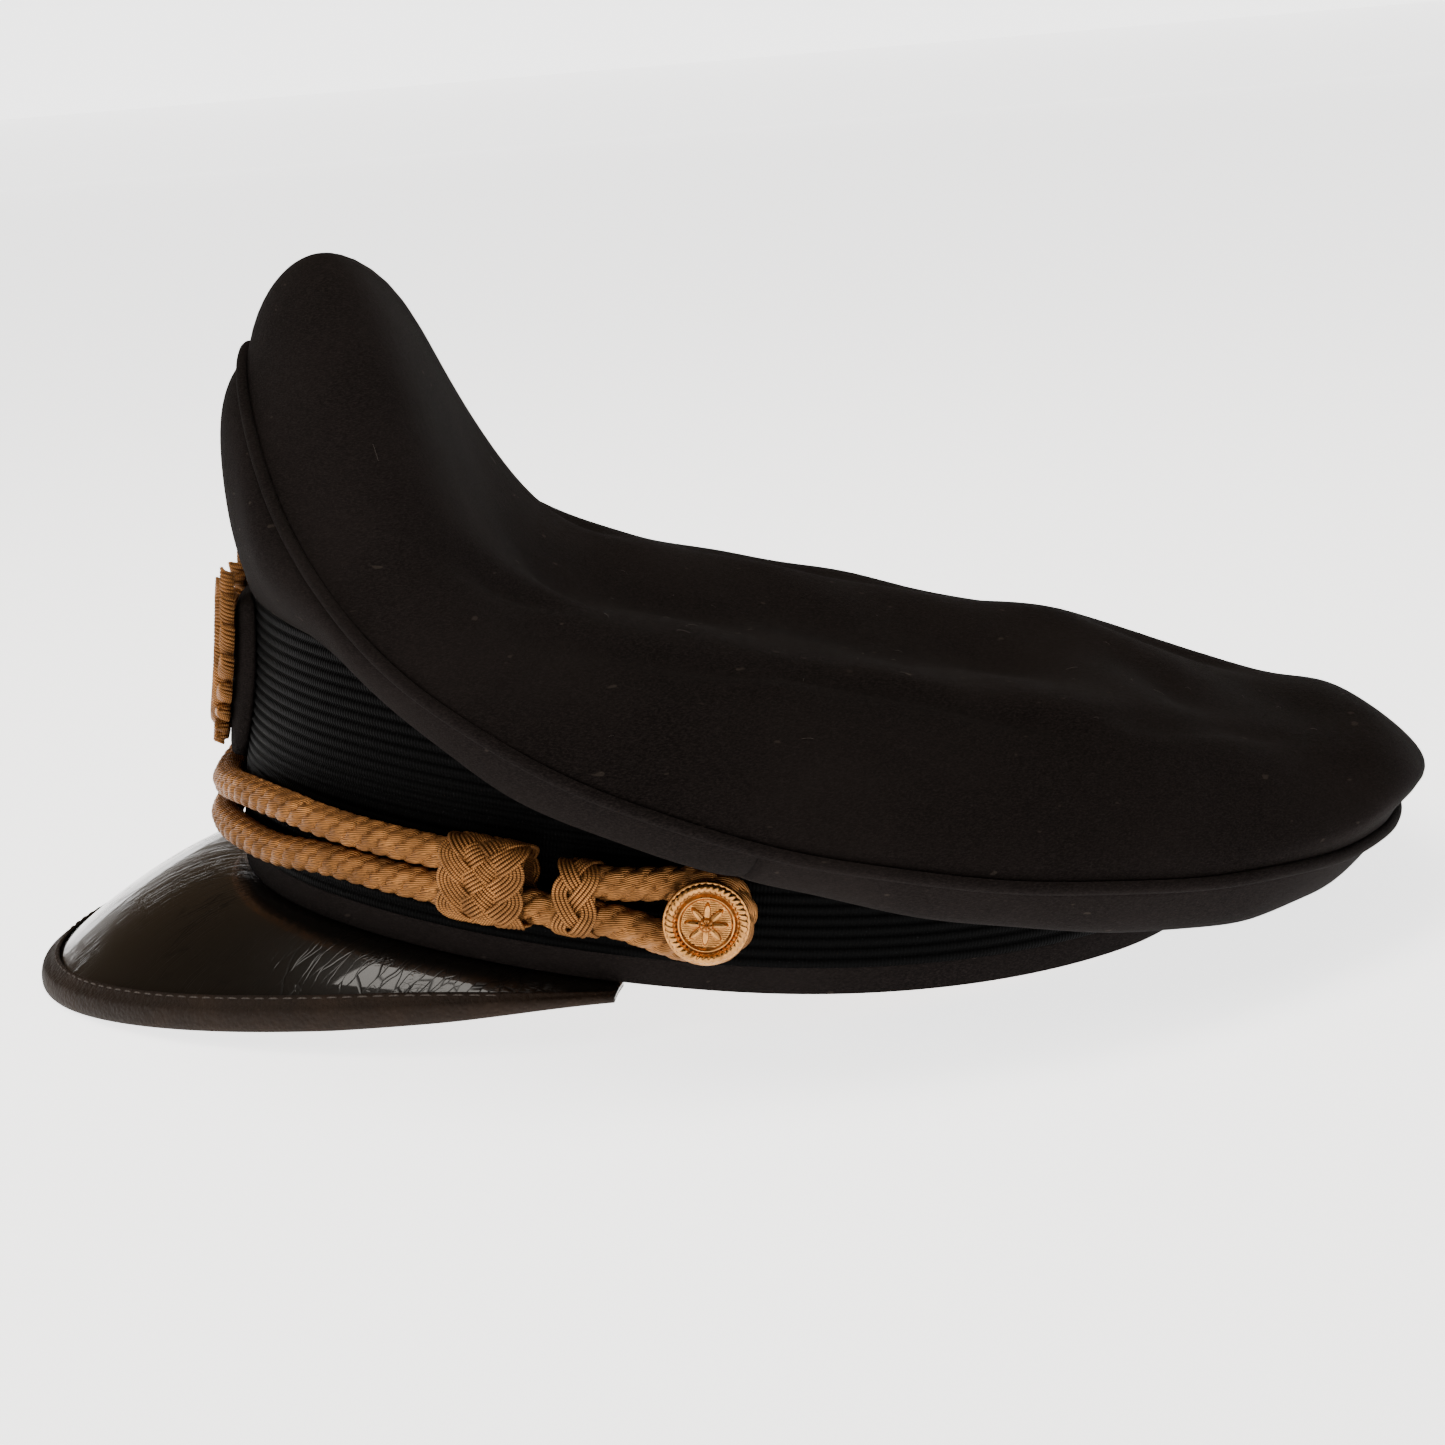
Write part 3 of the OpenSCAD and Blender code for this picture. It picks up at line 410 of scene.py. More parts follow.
class Build:
    """Points, faces and texture places of one mesh. Texture places are real lengths, in metres."""

    def __init__(self):
        self.verts, self.faces, self.uvs, self.count = [], [], [], 0

    def add(self, pts):
        """Adds an array of points and returns their numbers in the same arrangement."""
        flat = np.asarray(pts, float).reshape(-1, 3)
        ids = np.arange(self.count, self.count + len(flat)).reshape(np.shape(pts)[:-1])
        self.verts.append(flat)
        self.count += len(flat)
        return ids

    def join(self, ids, u, v):
        """Faces over a grid of point numbers, with the texture place of each row and column."""
        a, b, c, d = ids[:-1, :-1], ids[1:, :-1], ids[1:, 1:], ids[:-1, 1:]
        quads = np.stack([a, b, c, d], axis=-1).reshape(-1, 4)
        uu, vv = np.meshgrid(u, v, indexing="ij")
        uv = np.stack([uu, vv], axis=-1)
        corner = np.stack([uv[:-1, :-1], uv[1:, :-1], uv[1:, 1:], uv[:-1, 1:]], axis=-2).reshape(-1, 4, 2)
        self.faces += quads.tolist()
        self.uvs.append(corner.reshape(-1, 2))

    def grid(self, pts, wrap_u=False, wrap_v=False):
        """A surface over a grid of points, closed on itself in either direction if asked."""
        ids = self.add(pts)
        full, full_ids = np.asarray(pts, float), ids
        if wrap_u:
            full, full_ids = np.concatenate([full, full[:1]]), np.concatenate([full_ids, full_ids[:1]])
        if wrap_v:
            full = np.concatenate([full, full[:, :1]], axis=1)
            full_ids = np.concatenate([full_ids, full_ids[:, :1]], axis=1)
        du = np.linalg.norm(np.diff(full, axis=0), axis=-1).mean(axis=1)
        dv = np.linalg.norm(np.diff(full, axis=1), axis=-1).mean(axis=0)
        u = np.concatenate([[0], np.cumsum(du)]) / 1000
        v = np.concatenate([[0], np.cumsum(dv)]) / 1000
        self.join(full_ids, u, v)
        return ids

    def bridge(self, one, two, wrap=False):
        """Faces between two rows of point numbers."""
        if wrap:
            one, two = np.append(one, one[:1]), np.append(two, two[:1])
        self.join(np.stack([one, two]), [0, 0.001], np.arange(len(one)) / 1000)

    def shell(self, outer, inner, wrap=False):
        """A closed solid between two grids that match point by point."""
        o = self.grid(outer, wrap_u=wrap)
        i = self.grid(inner, wrap_u=wrap)
        self.bridge(o[:, 0], i[:, 0], wrap)
        self.bridge(o[:, -1], i[:, -1], wrap)
        if not wrap:
            self.bridge(o[0], i[0])
            self.bridge(o[-1], i[-1])

    def fan(self, ids, centre):
        """Closes a ring of point numbers with a middle point."""
        middle = self.add(np.asarray(centre, float)[None])[0]
        ring = np.append(ids, ids[:1])
        for k in range(len(ids)):
            self.faces.append([int(middle), int(ring[k]), int(ring[k + 1])])
            self.uvs.append(np.array([[0, k], [1, k], [1, k + 1]]) / 1000)

    def tube(self, path, radius, sides=8, out=(0.0, 0.0, 1.0), closed=False):
        """A round tube along a path.

        radius is one number, one for each point, or one for each point and side.
        out is the direction in which the sides start.
        """
        path = np.asarray(path, float)
        if closed:
            step = np.roll(path, -1, axis=0) - np.roll(path, 1, axis=0)
        else:
            step = np.gradient(path, axis=0)
        t = unit(step)
        up = np.broadcast_to(np.asarray(out, float), path.shape)
        n = unit(up - t * np.sum(up * t, axis=-1, keepdims=True))
        m = np.cross(t, n)
        g = 2 * math.pi * np.arange(sides) / sides
        r = np.broadcast_to(np.asarray(radius, float).reshape(-1, 1) if np.ndim(radius) == 1 else radius,
                            (len(path), sides))[..., None]
        across = np.cos(g)[None, :, None] * n[:, None] + np.sin(g)[None, :, None] * m[:, None]
        ring = path[:, None] + r * across
        ids = self.grid(ring, wrap_u=closed, wrap_v=True)
        if not closed:
            self.fan(ids[0], path[0])
            self.fan(ids[-1], path[-1])

    def disc(self, rings, tip=(0.0, 0.0, 0.0)):
        """A solid of nested rings, closed in the middle of the first and last; tip moves the last middle."""
        ids = self.grid(rings, wrap_v=True)
        self.fan(ids[0], rings[0].mean(axis=0))
        self.fan(ids[-1], rings[-1].mean(axis=0) + tip)

    def skin(self, outer, inner):
        """A closed skin whose two faces meet along their rims."""
        o = self.grid(outer, wrap_u=True)
        i = self.grid(inner, wrap_u=True)
        self.bridge(o[:, -1], i[:, -1], wrap=True)
        self.fan(o[:, 0], outer[:, 0].mean(axis=0))
        self.fan(i[:, 0], inner[:, 0].mean(axis=0))


def piece(name, build, cap, material, body, node=None):
    """Turns what was built into a named piece that rides on a CAD body and may stand for a CAD node."""
    mesh = bpy.data.meshes.new(name)
    verts = cap.to_row(np.concatenate(build.verts))
    mesh.from_pydata(verts.tolist(), [], build.faces)
    layer = mesh.uv_layers.new(name="UVMap")
    layer.data.foreach_set("uv", np.concatenate(build.uvs).astype(np.float32).ravel())
    mesh.polygons.foreach_set("use_smooth", np.ones(len(build.faces), bool))
    shape = bmesh.new()
    shape.from_mesh(mesh)
    bmesh.ops.recalc_face_normals(shape, faces=shape.faces)
    shape.to_mesh(mesh)
    shape.free()
    mesh.materials.append(material)
    made = bpy.data.objects.new(name, mesh)
    bpy.context.scene.collection.objects.link(made)
    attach(made, body)
    if node is not None:
        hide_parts(*([node] if isinstance(node, str) else node))
    return made


def even_path(pts, step, closed=False):
    """A path rounded at its corners and laid out again with one spacing."""
    p = np.asarray(pts, float)
    for _ in range(2):
        nxt = np.roll(p, -1, axis=0) if closed else p[1:]
        cur = p if closed else p[:-1]
        mid = np.stack([0.75 * cur + 0.25 * nxt, 0.25 * cur + 0.75 * nxt], axis=1).reshape(-1, 3)
        p = mid if closed else np.concatenate([p[:1], mid, p[-1:]])
    if closed:
        p = np.concatenate([p, p[:1]])
    run = np.concatenate([[0], np.cumsum(np.linalg.norm(np.diff(p, axis=0), axis=1))])
    count = max(4, int(round(run[-1] / step)))
    at = np.linspace(0, run[-1], count + 1)
    even = np.stack([np.interp(at, run, p[:, k]) for k in range(3)], axis=1)
    return even[:-1] if closed else even


# ---------------------------------------------------------------- materials

def add(tree, kind, inputs=None, **options):
    """Adds a shader node. inputs maps a socket's name or number to a value or to another node's output."""
    made = tree.nodes.new("ShaderNode" + kind)
    for key, value in options.items():
        setattr(made, key, value)
    for key, value in (inputs or {}).items():
        if isinstance(value, bpy.types.NodeSocket):
            tree.links.new(value, made.inputs[key])
        else:
            made.inputs[key].default_value = value
    return made


def calc(tree, operation, a, b=0.0):
    """One sum on two numbers or outputs."""
    return add(tree, "Math", {0: a, 1: b}, operation=operation).outputs[0]


def blend_colours(tree, amount, one, two):
    """A colour between two, by an amount from 0 to 1."""
    values = {"Factor": amount}
    for key, value in ((6, one), (7, two)):
        values[key] = value if isinstance(value, bpy.types.NodeSocket) else (*value, 1.0)
    return add(tree, "Mix", values, data_type="RGBA").outputs[2]


def noise(tree, place, scale, detail=3.0, roughness=0.55):
    return add(tree, "TexNoise", {"Vector": place, "Scale": scale, "Detail": detail,
                                  "Roughness": roughness}).outputs[0]


def ramp(tree, value, low, high):
    """A value stretched so that low gives 0 and high gives 1."""
    return add(tree, "MapRange", {0: value, 1: low, 2: high, 3: 0.0, 4: 1.0}).outputs[0]


def stretched(tree, place, scale=(1, 1, 1), turn_deg=(0, 0, 0)):
    return add(tree, "Mapping", {"Vector": place, "Scale": scale,
                                 "Rotation": tuple(math.radians(t) for t in turn_deg)}).outputs[0]


def lines(tree, value, pitch):
    """Parallel lines of that pitch in metres across a texture coordinate, from 0 to 1."""
    wave = calc(tree, "SINE", calc(tree, "MULTIPLY", value, 2 * math.pi / pitch))
    return calc(tree, "ADD", calc(tree, "MULTIPLY", wave, 0.5), 0.5)


def bump(tree, height, distance, strength=1.0, normal=None):
    values = {"Height": height, "Distance": distance, "Strength": strength}
    if normal is not None:
        values["Normal"] = normal
    return add(tree, "Bump", values).outputs[0]


def new_material(name, **inputs):
    """A material with one Principled node; inputs are its sockets, with _ for a space."""
    material = bpy.data.materials.new(name)
    material.use_nodes = True
    tree = material.node_tree
    tree.nodes.clear()
    values = {key.replace("_", " "): value for key, value in inputs.items()}
    surface = add(tree, "BsdfPrincipled", {
        key: (*value, 1.0) if isinstance(value, tuple) and len(value) == 3 else value
        for key, value in values.items()})
    add(tree, "OutputMaterial", {"Surface": surface.outputs[0]})
    coords = tree.nodes.new("ShaderNodeTexCoord")
    parts = add(tree, "SeparateXYZ", {0: coords.outputs["UV"]})
    return material, tree, surface, coords.outputs["Object"], coords.outputs["UV"], parts.outputs


def wool_cloth(colours, name="melton_wool", nap=1.0):
    """Felted wool melton: short diagonal nap, slack patches and a little pale lint."""
    base = tuple(colours.wool)
    m, tree, s, place, _, _ = new_material(
        name, Roughness=0.95, Specular_IOR_Level=0.03, Sheen_Weight=0.0, Sheen_Roughness=0.4,
        Sheen_Tint=(0.85, 0.74, 0.66))
    fibre = noise(tree, stretched(tree, place, (1, 1, 3.2), (35, 0, 20)), 1500, 5, 0.7)
    felt = noise(tree, place, 420, 4, 0.6)
    patch = ramp(tree, noise(tree, place, 22, 2), 0.35, 0.7)
    worn = blend_colours(tree, patch, tuple(c * 0.62 for c in base), tuple(c * 1.35 for c in base))
    shade = blend_colours(tree, ramp(tree, fibre, 0.42, 0.66), worn, tuple(c * 2.2 for c in base))
    specks = noise(tree, stretched(tree, place, (1, 1, 2.5), (60, 20, 0)), 260, 1, 0.3)
    lint = ramp(tree, specks, 0.765, 0.80)
    tree.links.new(blend_colours(tree, calc(tree, "MULTIPLY", lint, 0.3), shade, (0.05, 0.04, 0.032)),
                   s.inputs["Base Color"])
    soft = bump(tree, felt, 0.0005 * nap, 0.6)
    tree.links.new(bump(tree, fibre, 0.0003 * nap, 0.8, soft), s.inputs["Normal"])
    return m


def mohair_braid(colours):
    """Black mohair braid: silky ribs crossed by fine wrapped threads."""
    base = tuple(colours.braid)
    m, tree, s, place, _, uv = new_material(
        "mohair_braid", Roughness=0.62, Specular_IOR_Level=0.03, Sheen_Weight=0.0, Sheen_Roughness=0.4)
    ticks = lines(tree, uv[0], 0.00075)
    fuzz = noise(tree, place, 1600, 3)
    tree.links.new(blend_colours(tree, calc(tree, "MULTIPLY", ticks, ramp(tree, fuzz, 0.3, 0.7)),
                                 tuple(c * 0.55 for c in base), tuple(c * 1.9 for c in base)),
                   s.inputs["Base Color"])
    tree.links.new(bump(tree, calc(tree, "ADD", ticks, fuzz), 0.00012, 0.7), s.inputs["Normal"])
    return m


def patent_leather(colours):
    """Lacquered patent leather: mirror gloss, fine radial crazing and worn, dusty patches."""
    base = tuple(colours.patent)
    m, tree, s, place, uv, _ = new_material(
        "patent_leather", Roughness=0.3, Specular_IOR_Level=0.1, Coat_Weight=0.8, Coat_Roughness=0.05,
        Coat_IOR=1.4)
    warp = add(tree, "VectorMath", {0: uv, 1: add(tree, "VectorMath", {
        0: add(tree, "TexNoise", {"Vector": place, "Scale": 120.0}).outputs[1],
        "Scale": 0.0035}, operation="SCALE").outputs[0]}, operation="ADD").outputs[0]
    long_cells = add(tree, "TexVoronoi", {"Vector": stretched(tree, warp, (420, 62, 1)), "Scale": 1.0},
                     feature="DISTANCE_TO_EDGE").outputs[0]
    short_cells = add(tree, "TexVoronoi", {"Vector": stretched(tree, warp, (820, 520, 1)), "Scale": 1.0},
                      feature="DISTANCE_TO_EDGE").outputs[0]
    area = ramp(tree, noise(tree, place, 34, 3), 0.42, 0.62)
    flaked = ramp(tree, noise(tree, place, 70, 4), 0.52, 0.66)
    cracks = calc(tree, "MULTIPLY", calc(tree, "SUBTRACT", 1.0, ramp(tree, long_cells, 0.0, 0.05)), area)
    flakes = calc(tree, "MULTIPLY", calc(tree, "SUBTRACT", 1.0, ramp(tree, short_cells, 0.0, 0.09)), flaked)
    marks = calc(tree, "MAXIMUM", cracks, calc(tree, "MULTIPLY", flakes, 0.6))
    tree.links.new(blend_colours(tree, marks, base, (0.0022, 0.0018, 0.0015)), s.inputs["Base Color"])
    tree.links.new(calc(tree, "ADD", 0.04, calc(tree, "MULTIPLY", marks, 0.3)), s.inputs["Coat Roughness"])
    tree.links.new(calc(tree, "MULTIPLY", calc(tree, "SUBTRACT", 1.0, marks), 0.8), s.inputs["Coat Weight"])
    peel = bump(tree, noise(tree, place, 90, 2), 0.00005, 0.3)
    deep = bump(tree, calc(tree, "SUBTRACT", 1.0, marks), 0.00006, 0.6, peel)
    tree.links.new(deep, s.inputs["Normal"])
    tree.links.new(deep, s.inputs["Coat Normal"])
    return m


def grained_leather(name, base, worn, scale, depth, roughness=0.5, wear=0.35, shine=0.4):
    """Leather with a fine grain of cells, rubbed towards a worn colour in random blotches."""
    m, tree, s, place, _, _ = new_material(name, Roughness=roughness, Specular_IOR_Level=shine)
    cells = add(tree, "TexVoronoi", {"Vector": place, "Scale": scale, "Randomness": 1.0}).outputs[0]
    blotch = noise(tree, place, 60, 5, 0.65)
    pores = noise(tree, place, scale * 1.7, 2)
    wear_and_gap_shade = calc(tree, "MULTIPLY", ramp(tree, blotch, 0.45, 0.72), wear)
    tree.links.new(blend_colours(tree, wear_and_gap_shade, base, worn), s.inputs["Base Color"])
    uneven = calc(tree, "ADD", roughness - 0.1, calc(tree, "MULTIPLY", blotch, 0.25))
    tree.links.new(uneven, s.inputs["Roughness"])
    grain = bump(tree, calc(tree, "SUBTRACT", pores, cells), depth, 0.8)
    tree.links.new(grain, s.inputs["Normal"])
    return m


def bullion(colours, name, axis, pitch, depth=0.00012):
    """Aged gilt bullion: fine wire lines across one texture direction, with painted shade in the gaps
    between them.
    """
    base = tuple(colours.bullion)
    m, tree, s, place, _, uv = new_material(name, Metallic=0.85, Roughness=0.42)
    wires = lines(tree, calc(tree, "ADD", uv[axis], calc(tree, "MULTIPLY", uv[1 - axis], 0.22)), pitch)
    tarnish = ramp(tree, noise(tree, place, 130, 4, 0.6), 0.35, 0.68)
    body = blend_colours(tree, tarnish, tuple(c * 0.38 for c in base), base)
    # painted shade: the gaps between the wire lines are darkened to about a fifth of the gold
    wear_and_gap_shade = blend_colours(tree, ramp(tree, wires, 0.15, 0.95), tuple(c * 0.22 for c in base), body)
    tree.links.new(wear_and_gap_shade, s.inputs["Base Color"])
    dulled = calc(tree, "MULTIPLY", calc(tree, "SUBTRACT", 1.0, tarnish), 0.25)
    tree.links.new(calc(tree, "ADD", 0.34, dulled), s.inputs["Roughness"])
    tree.links.new(bump(tree, wires, depth, 0.9), s.inputs["Normal"])
    return m


def gilt_metal(colours, name="gilt_brass", roughness=0.24):
    """Gilt stamped brass, a little dulled and spotted."""
    base = tuple(colours.gilt)
    m, tree, s, place, _, _ = new_material(name, Metallic=1.0, Roughness=roughness)
    spots = ramp(tree, noise(tree, place, 480, 4, 0.7), 0.4, 0.75)
    tree.links.new(blend_colours(tree, spots, base, tuple(c * 0.45 for c in base)), s.inputs["Base Color"])
    tree.links.new(calc(tree, "ADD", roughness, calc(tree, "MULTIPLY", spots, 0.3)), s.inputs["Roughness"])
    tree.links.new(bump(tree, noise(tree, place, 900, 2), 0.00003, 0.5), s.inputs["Normal"])
    return m


def woven_satin(name, base, roughness=0.38, pitch=0.00035, sheen=0.25):
    """Satin with a fine twill line and soft wrinkles, with painted shade in the wrinkle troughs."""
    m, tree, s, place, _, uv = new_material(
        name, Roughness=roughness, Specular_IOR_Level=0.5, Sheen_Weight=sheen, Anisotropic=0.35)
    twill = lines(tree, calc(tree, "ADD", uv[0], uv[1]), pitch)
    wrinkle = noise(tree, stretched(tree, place, (1, 1, 0.4)), 70, 3)
    # painted shade: the colour darkens to 0.72 of the satin where the wrinkle bumps are low
    painted_fold_shade = ramp(tree, wrinkle, 0.3, 0.7)
    tree.links.new(blend_colours(tree, painted_fold_shade, tuple(c * 0.72 for c in base), base), s.inputs["Base Color"])
    folds = bump(tree, wrinkle, 0.0012, 0.5)
    tree.links.new(bump(tree, twill, 0.00005, 0.6, folds), s.inputs["Normal"])
    return m


def plain_metal(name, base, roughness):
    """Drawn or pressed metal with faint draw marks."""
    m, tree, s, place, _, _ = new_material(name, Metallic=1.0, Roughness=roughness, Base_Color=base)
    marks = noise(tree, stretched(tree, place, (1, 1, 14)), 900, 2)
    tree.links.new(bump(tree, marks, 0.00002, 0.5), s.inputs["Normal"])
    return m


def coarse_weave(name, base, pitch=0.0009):
    """Open plain weave stiffened with glue."""
    m, tree, s, _, _, uv = new_material(name, Roughness=0.85, Base_Color=base)
    weave = calc(tree, "MULTIPLY", lines(tree, uv[0], pitch), lines(tree, uv[1], pitch))
    tree.links.new(bump(tree, weave, 0.0002, 0.8), s.inputs["Normal"])
    return m


def clear_film():
    """Thin clear film, slightly yellowed."""
    m, tree, s, place, _, _ = new_material(
        "celluloid_film", Base_Color=(0.82, 0.72, 0.5), Roughness=0.12, Transmission_Weight=0.85, IOR=1.45)
    tree.links.new(bump(tree, noise(tree, place, 90, 2), 0.0002, 0.4), s.inputs["Normal"])
    return m


# ---------------------------------------------------------------- pieces of the cap

def make_crown(cap, colours):
    """Crown top, four side quarters and the corded welt, in wool cloth."""
    wool = wool_cloth(colours)
    an = -np.linspace(0, 360, 257)[:-1]
    rim = [0.98, 0.988, 0.994, 1.0]
    shares = np.concatenate([np.linspace(0.02, 0.86, 44), np.linspace(0.875, 0.97, 16), rim])
    build = Build()
    build.skin(*(cap.top_pt(an[:, None], shares[None, :], depth, creases=1.0) for depth in (0.0, cap.CLOTH)))
    piece("crown_top_cloth", build, cap, wool, "cap", "crown_top")

    gap, seam = 0.02, cap.SEAM_ANGLE
    seam_pull, seam_spread = 0.5, 1.1
    face, looseness = 0.3, 0.6
    spans = {"front_left": (seam + gap, 180 - gap), "front_right": (180 + gap, 360 - seam - gap),
             "back_left": (gap, seam - gap), "back_right": (360 - seam + gap, 360 - gap)}
    for side, (start, end) in spans.items():
        turns = np.linspace(start, end, 72)
        # each seam pulls the cloth in a little
        pull = seam_pull * np.exp(-np.minimum(turns - start, end - turns) / seam_spread)
        f = np.linspace(0, 1, 30)
        t = (0.02 + 0.965 * f[None, :]) * np.ones((len(turns), 1))
        slack = (0.5 * np.sin(turns[:, None] / 5.3 + 4 * f[None, :])
                 + 0.35 * np.sin(turns[:, None] / 2.9 - 7 * f[None, :] + 1.0)) * np.sin(math.pi * f)[None, :]
        build = Build()
        build.shell(cap.q_pt(turns[:, None], t, pull[:, None] + face + slack * looseness),
                    cap.q_pt(turns[:, None], t, pull[:, None] + cap.CLOTH + slack * looseness))
        piece(f"crown_side_cloth_{side}", build, cap, wool, "cap", f"crown_quarter_{side}")

    build = Build()
    an = np.linspace(0, 360, 361)[:-1]
    cover = 0.3
    x, y = cap.edge_plan(an, cap.welt_diameter / 2 - cover)
    path = points(x, y, cap.edge_z(an) + 0.1 + 0.12 * np.sin(an / 3.1))
    build.tube(path, cap.welt_diameter / 2 + cover, 12, closed=True)
    piece("crown_welt_cloth", build, cap, wool, "cap", "crown_edge_welt")


def wall(build, cap, out, inward, low, high, steps=240, rows=2):
    """A band wall between two offsets inside the band line; low and high give its edges from y."""
    an = np.linspace(0, 360, steps + 1)[:-1]
    f = np.linspace(0, 1, rows)
    grids = []
    for off in (out, inward):
        x, y = cap.oval(an, -off)
        z = mix(low(y)[:, None], high(y)[:, None], f[None, :])
        grids.append(points(x[:, None], y[:, None], z))
    build.shell(grids[0], grids[1], wrap=True)


def make_band(cap, colours):
    """Ribbed braid, plain base cloth and fibre foundation."""
    build = Build()
    an = np.linspace(0, 360, 401)[:-1]
    per_rib, rib_depth = 6, 0.5
    count = int((cap.band_top_front - cap.base_strip) / cap.rib_pitch * per_rib) + 1
    _, y0 = cap.oval(an, 0)
    bottom = cap.band_bottom(y0) + cap.base_strip
    rows = []
    for j in range(count):
        h = j * cap.rib_pitch / per_rib
        dip = rib_depth * (1 - abs(math.sin(math.pi * j / per_rib)) ** 0.7)
        x, y = cap.oval(an, -dip)
        rows.append(points(x, y, np.minimum(bottom + h, cap.band_top(y0))))
    outer = np.stack(rows, axis=1)
    x, y = cap.oval(an, -cap.BRAID)
    inner = points(x[:, None], y[:, None], outer[..., 2])
    build.shell(outer, inner, wrap=True)
    piece("ribbed_braid", build, cap, mohair_braid(colours), "cap", "ribbed_braid_band")

    wool = bpy.data.materials["melton_wool"]
    build = Build()
    wall(build, cap, *cap.BAND_CLOTH,
         lambda y: cap.band_bottom(y) + 0.25, lambda y: cap.band_top(y) - 0.5, rows=8)
    piece("band_base_cloth", build, cap, wool, "cap", "band_cloth")
    build = Build()
    inset = 0.6
    wall(build, cap, *cap.FOUNDATION,
         lambda y: cap.band_bottom(y) + inset, lambda y: cap.band_top(y) - inset)
    fibre = grained_leather("pressed_fibre", (0.16, 0.10, 0.055), (0.25, 0.17, 0.1), 500, 0.00015, 0.7)
    piece("band_fibre", build, cap, fibre, "cap", "band_foundation")


def make_visor(cap, colours):
    """Patent visor, its binding with stitches, and its lining."""
    t = np.linspace(-88, 88, 221)
    s = np.linspace(0, 0.985, 48)
    board, gap, ply = cap.VISOR_BOARD, cap.PLY_GAP, cap.VISOR_PLY
    tuck_height = 6.0
    thin = cap.v_thin(t)
    grids = []
    for inward, drop in ((0.2, 0.0), (1.2, board)):
        tuck = np.stack([cap.v_tuck(t, inward, tuck_height),
                         cap.v_tuck(t, inward, cap.VISOR_ROOT_Z - drop * thin)], axis=1)
        face = cap.v_pt(t[:, None], s[None, :], drop)
        grids.append(np.concatenate([tuck, face], axis=1))
    build = Build()
    build.shell(grids[0], grids[1])
    piece("visor_patent", build, cap, patent_leather(colours), "cap", "visor_shell")

    grids = []
    for drop in (board + gap, board + gap + ply):
        tuck = cap.v_tuck(t, 0.8, cap.VISOR_ROOT_Z - drop * thin)[:, None]
        grids.append(np.concatenate([tuck, cap.v_pt(t[:, None], s[None, :], drop)], axis=1))
    build = Build()
    build.shell(grids[0], grids[1])
    base = tuple(colours.underside)
    cloth = grained_leather("visor_leathercloth", base, tuple(c * 2 for c in base), 1100, 0.00018, 0.55, 0.5)
    piece("visor_underside", build, cap, cloth, "cap", "visor_lining")

    o, (ix, iy) = cap.v_out(t), cap.v_in(t, 0.2)
    reach = np.hypot(o[:, 0] - ix, o[:, 1] - iy)
    out = unit(points(o[:, 0] - ix, o[:, 1] - iy, 0))
    low = (board + gap + ply) * thin + 0.25
    steep = reach / np.hypot(reach, 1.6 * o[:, 2])
    width = cap.binding_width * 0.8 * steep * (0.3 + 0.7 * ease((90 - np.abs(t)) / 24))
    s0 = 1 - np.minimum(width, 0.8 * reach) / reach
    taper = 0.35 + 0.65 * ease((88.5 - np.abs(t)) / 16)
    low = mix(1.45 * thin, low, taper)
    skin = 0.7 * taper * thin / np.maximum(steep, 0.6)

    def raised(p, z):
        return p + points(0, 0, z)

    def fold(top, over, under):
        """One face of the folded binding, from its upper edge over the visor's edge to its lower edge."""
        upper = [raised(cap.v_pt(t, mix(s0, 1, f), 0.0), top * rise)
                 for f, rise in ((0, 0.55 if over > 0.5 else 1), (0.12, 1), (0.35, 1), (0.6, 1), (0.85, 1))]
        nose = [raised(o + (0.2 + over * sind(g) * 0.9) * out,
                       mix(-under, top, (1 + cosd(g)) / 2)) for g in np.linspace(12, 168, 9)]
        back = [raised(cap.v_pt(t, mix(s0 + 0.8 / np.maximum(reach, 4), 1, f), 0.0), -under)
                for f in (0.8, 0.4, 0.0)]
        return np.stack(upper + nose + back, axis=1)

    build = Build()
    build.shell(fold(0.2 + skin, 1.0, low + skin), fold(0.2 + 0 * skin, 0.2, low))
    base = tuple(colours.binding)
    wear_and_gap_shade = tuple(c * 2.6 for c in base)
    leather = grained_leather("binding_leather", base, wear_and_gap_shade, 900, 0.00022, 0.7, 0.5, 0.12)
    piece("visor_edge_binding", build, cap, leather, "cap", "visor_binding")

    line = raised(cap.v_pt(t, s0 + 0.8 / np.maximum(reach, 8), 0.0), 0.25 + skin)[12:-12]
    rail = even_path(line, 0.3)
    # a stitch and the space after it, in steps of the rail
    stitch, space = 8, 3
    thread_radius, sink = 0.2, 0.18
    build = Build()
    for start in range(0, len(rail) - stitch, stitch + space):
        run = rail[start:start + stitch + 1]
        f = np.linspace(-1, 1, len(run))
        build.tube(run - points(0, 0, sink * f ** 4), thread_radius * np.sqrt(1.05 - f ** 2), 6)
    thread = coarse_weave("waxed_thread", (0.035, 0.026, 0.02))
    piece("visor_binding_stitches", build, cap, thread, "cap")


